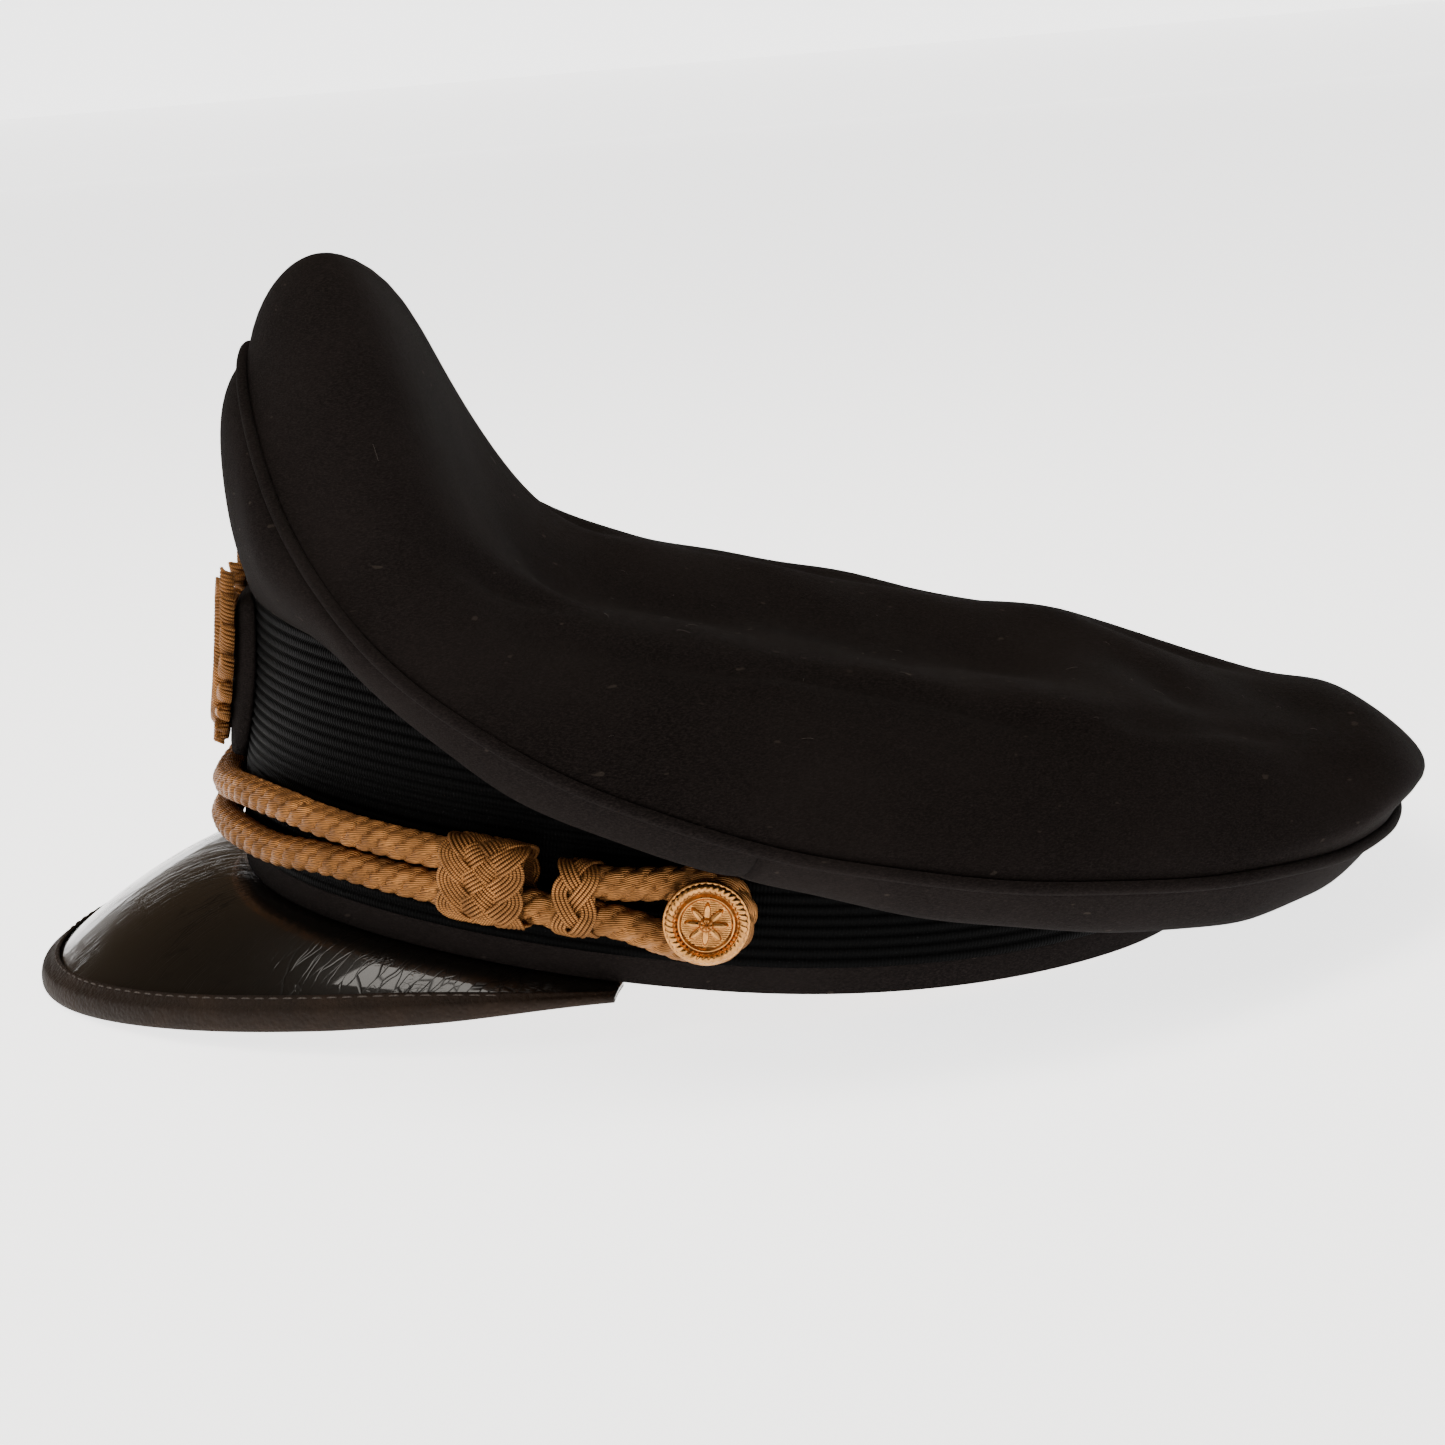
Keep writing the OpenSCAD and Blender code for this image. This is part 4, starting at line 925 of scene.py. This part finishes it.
def make_inside(cap, colours):
    """Sweatband with its bow, satin lining, clear shield and the roll at the band's lower edge."""
    tan = tuple(colours.sweat_leather)
    sweated = tuple(c * 0.45 for c in tan)
    leather = grained_leather("sweatband_leather", tan, sweated, 1300, 0.00012, 0.42, 0.6)
    drop = cap.band_top_front - cap.sweatband_height
    # the ends of the hide meet at the back
    an = np.linspace(0.9, 359.1, 300)
    lower_gap, ripple = 2.3, 0.35
    f = np.linspace(0, 1, 14)
    grids = []
    for off in cap.SWEATBAND:
        x, y = cap.oval(an, -off)
        wave = ripple * np.sin(an / 9)[:, None] * f[None, :] ** 2
        z = mix(cap.band_bottom(y)[:, None] + lower_gap, cap.band_top(y)[:, None] - drop, f[None, :])
        grids.append(points(x[:, None] * (1 - wave / 85), y[:, None] * (1 - wave / 85), z))
    build = Build()
    build.shell(grids[0], grids[1])
    piece("sweatband_hide", build, cap, leather, "cap", "sweatband")

    ribbon = woven_satin("silk_ribbon", (0.012, 0.012, 0.013), 0.3, 0.0003)
    build = Build()
    centre = np.array([0, cap.a - cap.SWEATBAND[1] - 1.3, cap.band_back_rise + 24])
    for side in (-1, 1):
        g = np.linspace(0, 360, 49)[:-1]
        loop = points(side * (5.2 - 4.4 * cosd(g)), 0.5 * sind(g), 3.1 * sind(g) * (1.2 - 0.4 * cosd(g)))
        for depth in (-0.5, 0.5):
            build.tube(centre + loop + (0, depth, 0), 0.55, 8, (0, 1, 0), closed=True)
        wave = 0.2 * np.sin(np.arange(12))
        tail = points(side * np.linspace(0.5, 5.2, 12), wave, np.linspace(-1, -10.5, 12))
        build.tube(centre + tail, 0.6, 8, (0, 1, 0))
    build.tube(centre + points(np.linspace(-1.8, 1.8, 9), 0, 0), 1.7 - 0.12 * np.abs(np.arange(9) - 4), 12)
    piece("sweatband_ribbon_bow", build, cap, ribbon, "cap", "sweatband_bow")

    satin = woven_satin("gold_satin", tuple(colours.lining))
    an = -np.linspace(0, 360, 193)[:-1]
    shares = np.linspace(0.015, 0.93, 48)
    build = Build()
    build.skin(*(cap.top_pt(an[:, None], shares[None, :], depth, creases=0.6) for depth in cap.CROWN_LINING))
    piece("crown_lining_satin", build, cap, satin, "cap", "crown_lining")

    turns = np.linspace(0, 360, 289)[:-1]
    t = np.linspace(0.06, 0.84, 22)
    depth = 1.4 + mix(2.8, 0.3, cap.q_mix(turns))[:, None]
    pleat = 0.18 * np.sin(turns * 2.5)[:, None] * np.sin(math.pi * np.linspace(0, 1, 22))[None, :]
    build = Build()
    build.shell(cap.q_pt(turns[:, None], t[None, :], depth + pleat),
                cap.q_pt(turns[:, None], t[None, :], depth + pleat + 0.5), wrap=True)
    piece("side_lining_satin", build, cap, satin, "cap", "side_lining")

    shares = np.linspace(0.015, 0.40, 20)
    build = Build()
    build.skin(*(cap.top_pt(an[:, None], shares[None, :], depth, creases=0.6) for depth in cap.SHIELD))
    piece("sweat_shield_film", build, cap, clear_film(), "cap", "sweat_shield")
    build = Build()
    piping_radius = 0.75
    build.tube(cap.top_pt(an, 0.405, 4.1, creases=0.6), piping_radius, 8, closed=True)
    piece("sweat_shield_piping", build, cap, satin, "cap")

    an = np.linspace(0, 360, 241)[:-1]
    x, y = cap.oval(an, -sum(cap.SWEATBAND) / 2)
    build = Build()
    reed_height, reed_radius = 1.1, 0.9
    build.tube(points(x, y, cap.band_bottom(y) + reed_height), reed_radius, 10, closed=True)
    piece("band_edge_reed_cover", build, cap, leather, "cap", "band_edge_reed")


def twisted(count, sides, lays, strands=3, depth=0.16):
    """Radius shares of a rope laid up from strands, for count points along it and sides round it."""
    along = np.arange(count)[:, None] / count * lays * 2 * math.pi
    around = 2 * math.pi * np.arange(sides)[None, :] / sides
    return 1 - depth + depth * np.abs(np.cos((around * strands + along) / 2))


def make_cords(cap, colours):
    """The two plaited chin cords along their whole run."""
    gilt = bullion(colours, "plaited_bullion", 1, 0.00042)
    step, sides = 0.4, 36
    plait_pitch, strands_round = 4.1, 4
    lobe_length, lobe_width, slant = 0.55, 0.37, 0.25
    core, relief = 0.67, 0.34
    paths = {"lower": cap.cord_path(-1), "upper": cap.cord_path(1) * (-1, 1, 1)}
    for which, rough_path in paths.items():
        path = even_path(rough_path, step)
        run = step * np.arange(len(path))[:, None] / plait_pitch
        turn = np.arange(sides)[None, :] / sides * strands_round
        lobes = []
        for shift in (0.0, 0.5):
            du = np.mod(run + shift, 1) - 0.5
            dv = np.mod(turn + shift, 1) - 0.5
            lobes.append(1 - (du / lobe_length) ** 2 - ((dv + slant * du) / lobe_width) ** 2)
        crest = np.sqrt(np.maximum(0, np.maximum(*lobes)))
        radius = cap.cr * (core + relief * crest)
        build = Build()
        build.tube(path, radius, sides, cap.cord_out(path))
        piece(f"chin_cord_{which}_plait", build, cap, gilt, "cap", f"chin_cord_{which}")


def knot(cap, name, forward, middle, size, weave, material, body, node, side):
    """A woven knot round both cords.

    middle is its outward and upward place, size its length, half depth and half height, and weave its leads,
    bights, parallel cords and their spacing.
    """
    span, depth, height = size
    leads, bights, cords, spacing = weave
    radius, amp, spare = 0.41, 0.42, 0.08
    corner = 3.6
    flat = np.array([depth, height]) - amp - radius - spare
    edges = 2 * (flat - corner)
    lap = 2 * edges.sum() + 2 * math.pi * corner
    marks, at = [], []
    run = 0.0
    for k in range(4):
        centre = (flat - corner) * ((1, 1), (-1, 1), (-1, -1), (1, -1))[k]
        for g in np.linspace(90 * k, 90 * k + 90, 9):
            marks.append((*(centre + corner * np.array([cosd(g), sind(g)])), cosd(g), sind(g)))
            at.append(run + math.radians(g - 90 * k) * corner)
        run = at[-1] + edges[0 if k % 2 == 0 else 1]
    marks, at = np.array(marks + marks[:1]), np.array(at + [lap])

    def place(around, across, lift):
        """A point of the knot from its way round the cords, its way along them and its height."""
        w = np.mod(around, lap)
        out, up, n_out, n_up = (np.interp(w, at, marks[:, k]) for k in range(4))
        bend = math.asin(forward / cap.run_r) + across / cap.run_r
        r = cap.run_r + middle[0] + out + lift * n_out
        high = middle[1] + up + lift * n_up
        return points(side * (-cap.side_c + r * np.cos(bend)), -r * np.sin(bend), high)

    steps = 90 * bights
    # the cords turn back a little before the crest of a full wave
    turn_back = 0.86
    tau = np.arange(steps) / steps
    half = span / 2 - spacing * (cords - 1) / 2 - radius
    wave = np.arcsin(turn_back * np.sin(2 * math.pi * bights * tau)) / math.asin(turn_back)
    share_across = (wave + 1) / 2
    rising = np.cos(2 * math.pi * bights * tau) > 0
    cross = np.interp(np.where(rising, share_across, 1 - share_across),
                      [0] + [j / leads for j in range(1, leads)] + [1],
                      [0.5] + list(range(1, leads)) + [leads - 0.5])
    lift = amp * np.cos(math.pi * cross)
    around, across = lap * leads * tau, half * wave
    d_around = np.full(steps, lap * leads / steps)
    d_across = (np.roll(across, -1) - np.roll(across, 1)) / 2
    norm = np.hypot(d_around, d_across)
    build = Build()
    for k in range(cords):
        aside = (k - (cords - 1) / 2) * spacing
        path = place(around - aside * d_across / norm, across + aside * d_around / norm, lift)
        out = place(around - aside * d_across / norm, across + aside * d_around / norm, lift + 1) - path
        build.tube(path, radius * twisted(steps, 7, 60 * bights, 2, 0.1), 7, out, closed=True)
    lap_marks = np.linspace(0, lap, 81)[:-1]
    # a plain sleeve under the weave closes the gaps between its cords
    inset = 0.9
    sleeve = np.linspace(-span / 2 + inset, span / 2 - inset, 7)
    sunk = np.array([-1.5] + [-0.75] * 5 + [-1.5])
    build.grid(place(lap_marks[:, None], sleeve[None, :], sunk[None, :]), wrap_u=True)
    piece(name, build, cap, material, body, node)


def make_knots(cap, colours):
    """Slide knots and keeper knots, woven of fine gilt cord."""
    fine = bullion(colours, "knot_bullion", 0, 0.00045, 0.00008)
    # leads, bights, parallel cords and their spacing
    slide_weave, keeper_weave = (5, 8, 6, 0.76), (3, 5, 4, 0.76)
    slide_out, slide_cover = 0.45, 1.65
    keeper_cover, keeper_half = 1.2, 7.95
    for word, side in (("left", 1), ("right", -1)):
        knot(cap, f"{word}_slide_weave", cap.slide_forward, (slide_out, cap.cord_height),
             (cap.slide_length, cap.cr + slide_cover, cap.slide_height / 2), slide_weave,
             fine, f"{word}_slide", f"{word}_slide_knot", side)
        knot(cap, f"{word}_keeper_weave", cap.keep_mid, (0.0, cap.keep_h),
             (cap.keeper_length, cap.cr + keeper_cover, keeper_half), keeper_weave,
             fine, f"{word}_keeper", f"{word}_keeper_knot", side)


def make_buttons(cap, colours):
    """Stamped side button faces: roped rim, stepped ring, lined field and a plain eight-point star."""
    metal = gilt_metal(colours)
    edge = cap.button_diameter / 2
    r = np.concatenate([np.linspace(0.15, 5.9, 70), np.linspace(6.0, edge - 0.35, 14),
                        [edge - 0.12, edge, edge, edge - 0.1]])
    an = np.linspace(0, 360, 289)[:-1]
    rr, aa = np.meshgrid(r, an, indexing="ij")
    field, boss, hatch = 1.75, 1.5, 0.42
    ring_radius, ring_width = 5.25, 0.42
    rope_place, rope_radius = 6.95, 0.98
    star = 1.6 + 2.7 * np.abs(cosd(4 * aa)) ** 1.6
    inside = 1 - ease((rr - 4.5) / 0.3)
    face = (field + 0.25 * (1 - (rr / 5) ** 2) * inside
            + 0.7 * np.exp(-((rr - ring_radius) / ring_width) ** 2)
            + 0.07 * np.cos(2 * math.pi * rr * sind(aa) / hatch) * inside * ease((rr - star) / 0.3)
            + 0.75 * ease((star - rr) / 0.55) * (1 - 0.4 * np.abs(sind(4 * aa)))
            + 0.55 * ease((boss - rr) / 0.5))
    face[-3:] = np.array([1.55, 0.9, 0.1])[:, None]
    face[-4] = 1.7
    for word, side in (("left", 1), ("right", -1)):
        def place(radius, angle, high):
            return points(side * (cap.button_back + high), cap.BUTTON_Y + radius * cosd(angle),
                          cap.button_height + radius * sind(angle))
        build = Build()
        build.disc(place(rr, aa, face))
        rope = rope_radius * twisted(len(an), 16, 40, 2, 0.3)
        build.tube(place(rope_place, an, field), rope, 16, (side, 0, 0), closed=True)
        piece(f"{word}_button_stamping", build, cap, metal, f"{word}_button",
              f"{word}_button_face")


def make_badge(cap, colours):
    """Badge: padded felt backing, generic leaf wreath, tie and round cockade, all plain stitched bullion."""
    def front(x, out, z):
        """A point in front of the band, out from its face."""
        return points(x, -(cap.end_c + np.sqrt((cap.end_r + out) ** 2 - np.square(x))), z)

    gold = bullion(colours, "badge_bullion", 0, 0.0004, 0.0001)
    felt = wool_cloth(colours, "badge_felt", nap=1.6)
    mid, low, high = (cap.badge_bottom + cap.badge_top) / 2, cap.badge_bottom - 1, 56.5
    rows = np.linspace(low, high, 46)
    across = np.linspace(-1, 1, 49)
    half = np.sqrt(np.maximum(0.01, (cap.badge_width / 2) ** 2 - (rows - mid) ** 2))
    x = half[:, None] * across[None, :]
    rim = np.minimum(1 - np.abs(across)[None, :] ** 6, 1 - np.abs(np.linspace(-1, 1, 46))[:, None] ** 12)
    build = Build()
    build.shell(front(x, 0.9 + 2.7 * np.sqrt(rim), rows[:, None]), front(x, 0.15, rows[:, None]))
    piece("badge_felt_pad", build, cap, felt, "cap", "badge_backing")

    groups, first_turn, turn_step = 8, -74, 17.5
    stitches, leaf_reach, leaf_half = 9, 3.1, 1.9
    for word, side in (("left", 1), ("right", -1)):
        build = Build()
        for group in range(groups):
            g = first_turn + turn_step * group
            for edge, lean in ((-1, -34), (0, 0), (1, 34)):
                stem = 17.0 + 2.4 * edge
                cx, cz = side * stem * cosd(g), mid + 1.8 + stem * sind(g)
                head = g + 90 - lean
                ux, uz = side * cosd(head), sind(head)
                crest = 3.9 if edge == 0 else 3.0
                for k in range(stitches):
                    f = k / (stitches - 1)
                    wide = leaf_half * math.sin(math.pi * (0.12 + 0.83 * f)) ** 0.8
                    w = np.linspace(-1, 1, 11)
                    along = -leaf_reach + 2 * leaf_reach * f - 1.1 * np.abs(w)
                    px = cx + ux * along - uz * wide * w
                    pz = cz + uz * along + ux * wide * w
                    build.tube(front(px, 3.7 + crest * np.sqrt(1.02 - w * w), pz), 0.42, 6, (0, -1, 0))
        piece(f"badge_leaves_{word}", build, cap, gold, "cap", f"badge_wreath_{word}")

    build = Build()
    for k in range(9):
        z = cap.badge_bottom + 0.8 + 0.62 * k
        x = np.linspace(-3.0, 3.0, 13)
        build.tube(front(x, 7.6 - 2.6 * (x / 3.1) ** 4, z + 0.5 * np.sin(x)), 0.36, 7, (0, -1, 0))
    piece("badge_wreath_tie", build, cap, gold, "cap", "badge_wreath_tie")

    an = np.linspace(0, 360, 181)[:-1]
    cz = cap.badge_top - 17.65
    build = Build()

    def disc(radius, out):
        return points(radius * cosd(an), -cap.a - out, cz + radius * sind(an))

    for radius, out, thick, lays in ((7.5, 5.0, 1.0, 34), (5.6, 5.6, 0.95, 26), (3.8, 6.2, 0.9, 18)):
        rope = thick * twisted(len(an), 14, lays, 2, 0.25)
        build.tube(disc(radius, out), rope, 14, (0, -1, 0), closed=True)
    profile = ((8.0, 3.8), (8.0, 4.6), (6.5, 5.3), (4.7, 5.9),
               (2.9, 6.3), (2.5, 7.4), (1.7, 8.2), (0.8, 8.6))
    build.disc(np.array([disc(radius, out) for radius, out in profile]), tip=(0, -0.1, 0))
    piece("badge_cockade_rings", build, cap, gold, "cap", "badge_cockade")


def make_lint(cap):
    """A few pale fibres caught on the crown cloth."""
    rng = np.random.default_rng(SEED)
    build = Build()
    for _ in range(FIBRES):
        start_an, start_s = rng.uniform(0, 360), rng.uniform(0.15, 0.93)
        f = np.linspace(0, 1, 7)
        bend = rng.uniform(-1.5, 1.5) * f * f
        an = start_an + rng.uniform(-1.8, 1.8) * f + bend
        s = start_s + rng.uniform(-0.02, 0.02) * f
        on = cap.top_pt(an, s, 0.0, creases=1.0)
        build.tube(on + points(0, 0, 0.05 + 0.2 * np.sin(math.pi * f)), rng.uniform(0.012, 0.025), 4)
    lint = coarse_weave("lint_fibre", (0.07, 0.055, 0.045))
    piece("crown_lint", build, cap, lint, "cap")


def make_hardware():
    """Materials of the metal and hidden pieces, which keep their CAD shape."""
    steel = plain_metal("spring_steel", (0.36, 0.36, 0.37), 0.38)
    brass = plain_metal("drawn_brass", (0.55, 0.36, 0.14), 0.32)
    gilt = bpy.data.materials["gilt_brass"]
    buckram = coarse_weave("glued_buckram", (0.52, 0.44, 0.32))
    finish = {"crown_wire": steel, "crown_wire_sleeve": brass,
              "front_stay": steel, "front_stiffener": buckram}
    for word in ("left", "right"):
        finish |= {f"{word}_button_back": gilt, f"{word}_button_shank": gilt,
                   f"{word}_eyelet": brass, f"{word}_split_pin": steel}
    for name, material in finish.items():
        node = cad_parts[name]
        node.data.materials.clear()
        node.data.materials.append(material)
        node.data.polygons.foreach_set("use_smooth", np.ones(len(node.data.polygons), bool))


# ---------------------------------------------------------------- studio

def look_rotation(away, up):
    """Rotation of a camera or lamp that looks against a direction."""
    z = away.normalized()
    x = up.cross(z).normalized()
    return Matrix((x, z.cross(x), z)).transposed()


def area_light(name, place, target, size, watts, tint=(1.0, 1.0, 1.0)):
    """A soft rectangular lamp aimed at a point."""
    lamp = bpy.data.lights.new(name, "AREA")
    lamp.shape = "RECTANGLE"
    lamp.size, lamp.size_y = size
    lamp.energy = watts
    lamp.color = tint
    made = bpy.data.objects.new(name, lamp)
    bpy.context.scene.collection.objects.link(made)
    away = Vector(place) - Vector(target)
    made.matrix_world = Matrix.Translation(place) @ look_rotation(away, Vector((0, 0, 1))).to_4x4()
    return made


def make_stage(cap, colours):
    """Backlit pale sweep with low walls, a dim warm room above it, soft lamps and the camera."""
    pale, glow = tuple(colours.backdrop), 3.2
    world = bpy.data.worlds.new("dim_warm_room")
    world.use_nodes = True
    tree = world.node_tree
    tree.nodes.clear()
    light = add(tree, "Background", {"Color": (0.62, 0.42, 0.25, 1.0), "Strength": 0.2})
    add(tree, "OutputWorld", {"Surface": light.outputs[0]})
    bpy.context.scene.world = world

    # backlit acrylic sheet, so that the cap stands on an even pale ground
    acrylic, _, surface, _, _, _ = new_material(
        "backlit_acrylic", Base_Color=pale, Roughness=0.9, Specular_IOR_Level=0.0)
    surface.inputs["Emission Color"].default_value = (*pale, 1.0)
    surface.inputs["Emission Strength"].default_value = glow
    reach, curb, wall_height = 4.0, 0.3, 0.6
    rows = [(-reach, curb), (-reach + 0.1, 0.08), (-reach + 0.4, 0.0), (reach, 0.0), (reach, wall_height)]
    mesh = bpy.data.meshes.new("floor")
    sheet = [(2 * k, 2 * k + 1, 2 * k + 3, 2 * k + 2) for k in range(len(rows) - 1)]
    sheet_points = [(x, side * reach, z) for x, z in rows for side in (-1, 1)]
    first = len(sheet_points)
    walls = [(first + k, first + k + 1, first + k + 3, first + k + 2) for k in (0, 4)]
    wall_points = [(x, side * reach, z)
                   for side in (-1, 1) for x in (-reach, reach) for z in (0.0, wall_height)]
    mesh.from_pydata(sheet_points + wall_points, [], sheet + walls)
    mesh.materials.append(acrylic)
    floor = bpy.data.objects.new("floor", mesh)
    bpy.context.scene.collection.objects.link(floor)
    middle = (0, 0, 0.07)
    lamps = [
        area_light("key_softbox", (0.6, -0.5, 0.8), middle, (0.5, 0.5), 3.5, (1.0, 0.96, 0.9)),
        area_light("back_softbox", (-0.08, -0.2, 0.95), (0, -0.12, 0.02), (0.8, 0.5), 9.0,
                   (1.0, 0.95, 0.88)),
        area_light("top_softbox", (0.1, 0.35, 0.95), middle, (0.5, 0.6), 1.5),
    ]
    camera_data = bpy.data.cameras.new("camera")
    camera_data.sensor_width = 36.0
    camera_data.lens = 81.04
    camera_data.clip_start = 0.01
    camera = bpy.data.objects.new("camera", camera_data)
    bpy.context.scene.collection.objects.link(camera)
    elevation, distance, aim_height = math.radians(13), 0.7, 0.0337
    # the camera is rolled so that the band shows this tilt
    shown_tilt = math.radians(4)
    lean = Matrix.Rotation(-(cap.tilt - shown_tilt), 4, "X")
    shift = Vector((0, -cap.mid_y, cap.tilt_z)) / 1000
    away = Vector((math.cos(elevation), 0, math.sin(elevation)))
    place = Vector((0, 0, aim_height)) + distance * away
    camera.matrix_world = (Matrix.Translation(shift) @ lean @ Matrix.Translation(place)
                           @ look_rotation(away, Vector((0, 0, 1))).to_4x4())
    bpy.context.scene.camera = camera


# ---------------------------------------------------------------- add-on

def settings(context):
    return Cap(context.scene.peaked_cap_sizes), context.scene.peaked_cap_colours


class CAP_OT_crown(bpy.types.Operator):
    """Build the crown cloth, its welt and the lint on it"""

    bl_idname = "peaked_cap.crown"
    bl_label = "Build crown"

    def execute(self, context):
        make_crown(*settings(context))
        make_lint(settings(context)[0])
        return {"FINISHED"}


class CAP_OT_band(bpy.types.Operator):
    """Build the ribbed band and the layers behind it"""

    bl_idname = "peaked_cap.band"
    bl_label = "Build band"

    def execute(self, context):
        make_band(*settings(context))
        return {"FINISHED"}


class CAP_OT_visor(bpy.types.Operator):
    """Build the patent visor, its binding and its lining"""

    bl_idname = "peaked_cap.visor"
    bl_label = "Build visor"

    def execute(self, context):
        make_visor(*settings(context))
        return {"FINISHED"}


class CAP_OT_inside(bpy.types.Operator):
    """Build the sweatband, bow, linings and clear shield"""

    bl_idname = "peaked_cap.inside"
    bl_label = "Build inside"

    def execute(self, context):
        make_inside(*settings(context))
        return {"FINISHED"}


class CAP_OT_cords(bpy.types.Operator):
    """Build the two plaited chin cords"""

    bl_idname = "peaked_cap.cords"
    bl_label = "Build chin cords"

    def execute(self, context):
        make_cords(*settings(context))
        return {"FINISHED"}


class CAP_OT_knots(bpy.types.Operator):
    """Build the woven slide and keeper knots"""

    bl_idname = "peaked_cap.knots"
    bl_label = "Build knots"

    def execute(self, context):
        make_knots(*settings(context))
        return {"FINISHED"}


class CAP_OT_buttons(bpy.types.Operator):
    """Build the stamped button faces"""

    bl_idname = "peaked_cap.buttons"
    bl_label = "Build buttons"

    def execute(self, context):
        make_buttons(*settings(context))
        return {"FINISHED"}


class CAP_OT_badge(bpy.types.Operator):
    """Build the embroidered badge"""

    bl_idname = "peaked_cap.badge"
    bl_label = "Build badge"

    def execute(self, context):
        make_badge(*settings(context))
        return {"FINISHED"}


class CAP_OT_hardware(bpy.types.Operator):
    """Give the metal and hidden pieces their materials"""

    bl_idname = "peaked_cap.hardware"
    bl_label = "Finish hardware"

    def execute(self, context):
        make_hardware()
        return {"FINISHED"}


class CAP_OT_stage(bpy.types.Operator):
    """Set up the floor, lights and camera"""

    bl_idname = "peaked_cap.stage"
    bl_label = "Set up stage"

    def execute(self, context):
        make_stage(*settings(context))
        return {"FINISHED"}


OPERATORS = (CAP_OT_crown, CAP_OT_band, CAP_OT_visor, CAP_OT_inside, CAP_OT_cords, CAP_OT_knots,
             CAP_OT_buttons, CAP_OT_badge, CAP_OT_hardware, CAP_OT_stage)


class CAP_PT_panel(bpy.types.Panel):
    """Sidebar panel with the cap's settings and build steps"""

    bl_idname = "CAP_PT_panel"
    bl_label = "Peaked cap"
    bl_space_type = "VIEW_3D"
    bl_region_type = "UI"
    bl_category = "Peaked cap"

    def draw(self, context):
        for operator in OPERATORS:
            self.layout.operator(operator.bl_idname)
        for group in (context.scene.peaked_cap_sizes, context.scene.peaked_cap_colours):
            box = self.layout.box()
            for name in type(group).__annotations__:
                box.prop(group, name)


CLASSES = (CapSizes, CapColours, *OPERATORS, CAP_PT_panel)


def register():
    for cls in CLASSES:
        bpy.utils.register_class(cls)
    bpy.types.Scene.peaked_cap_sizes = bpy.props.PointerProperty(type=CapSizes)
    bpy.types.Scene.peaked_cap_colours = bpy.props.PointerProperty(type=CapColours)


def unregister():
    del bpy.types.Scene.peaked_cap_colours
    del bpy.types.Scene.peaked_cap_sizes
    for cls in reversed(CLASSES):
        bpy.utils.unregister_class(cls)


def main():
    """Registers the add-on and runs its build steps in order."""
    register()
    for operator in OPERATORS:
        group, name = operator.bl_idname.split(".")
        getattr(getattr(bpy.ops, group), name)()


if __name__ == "__main__":
    main()
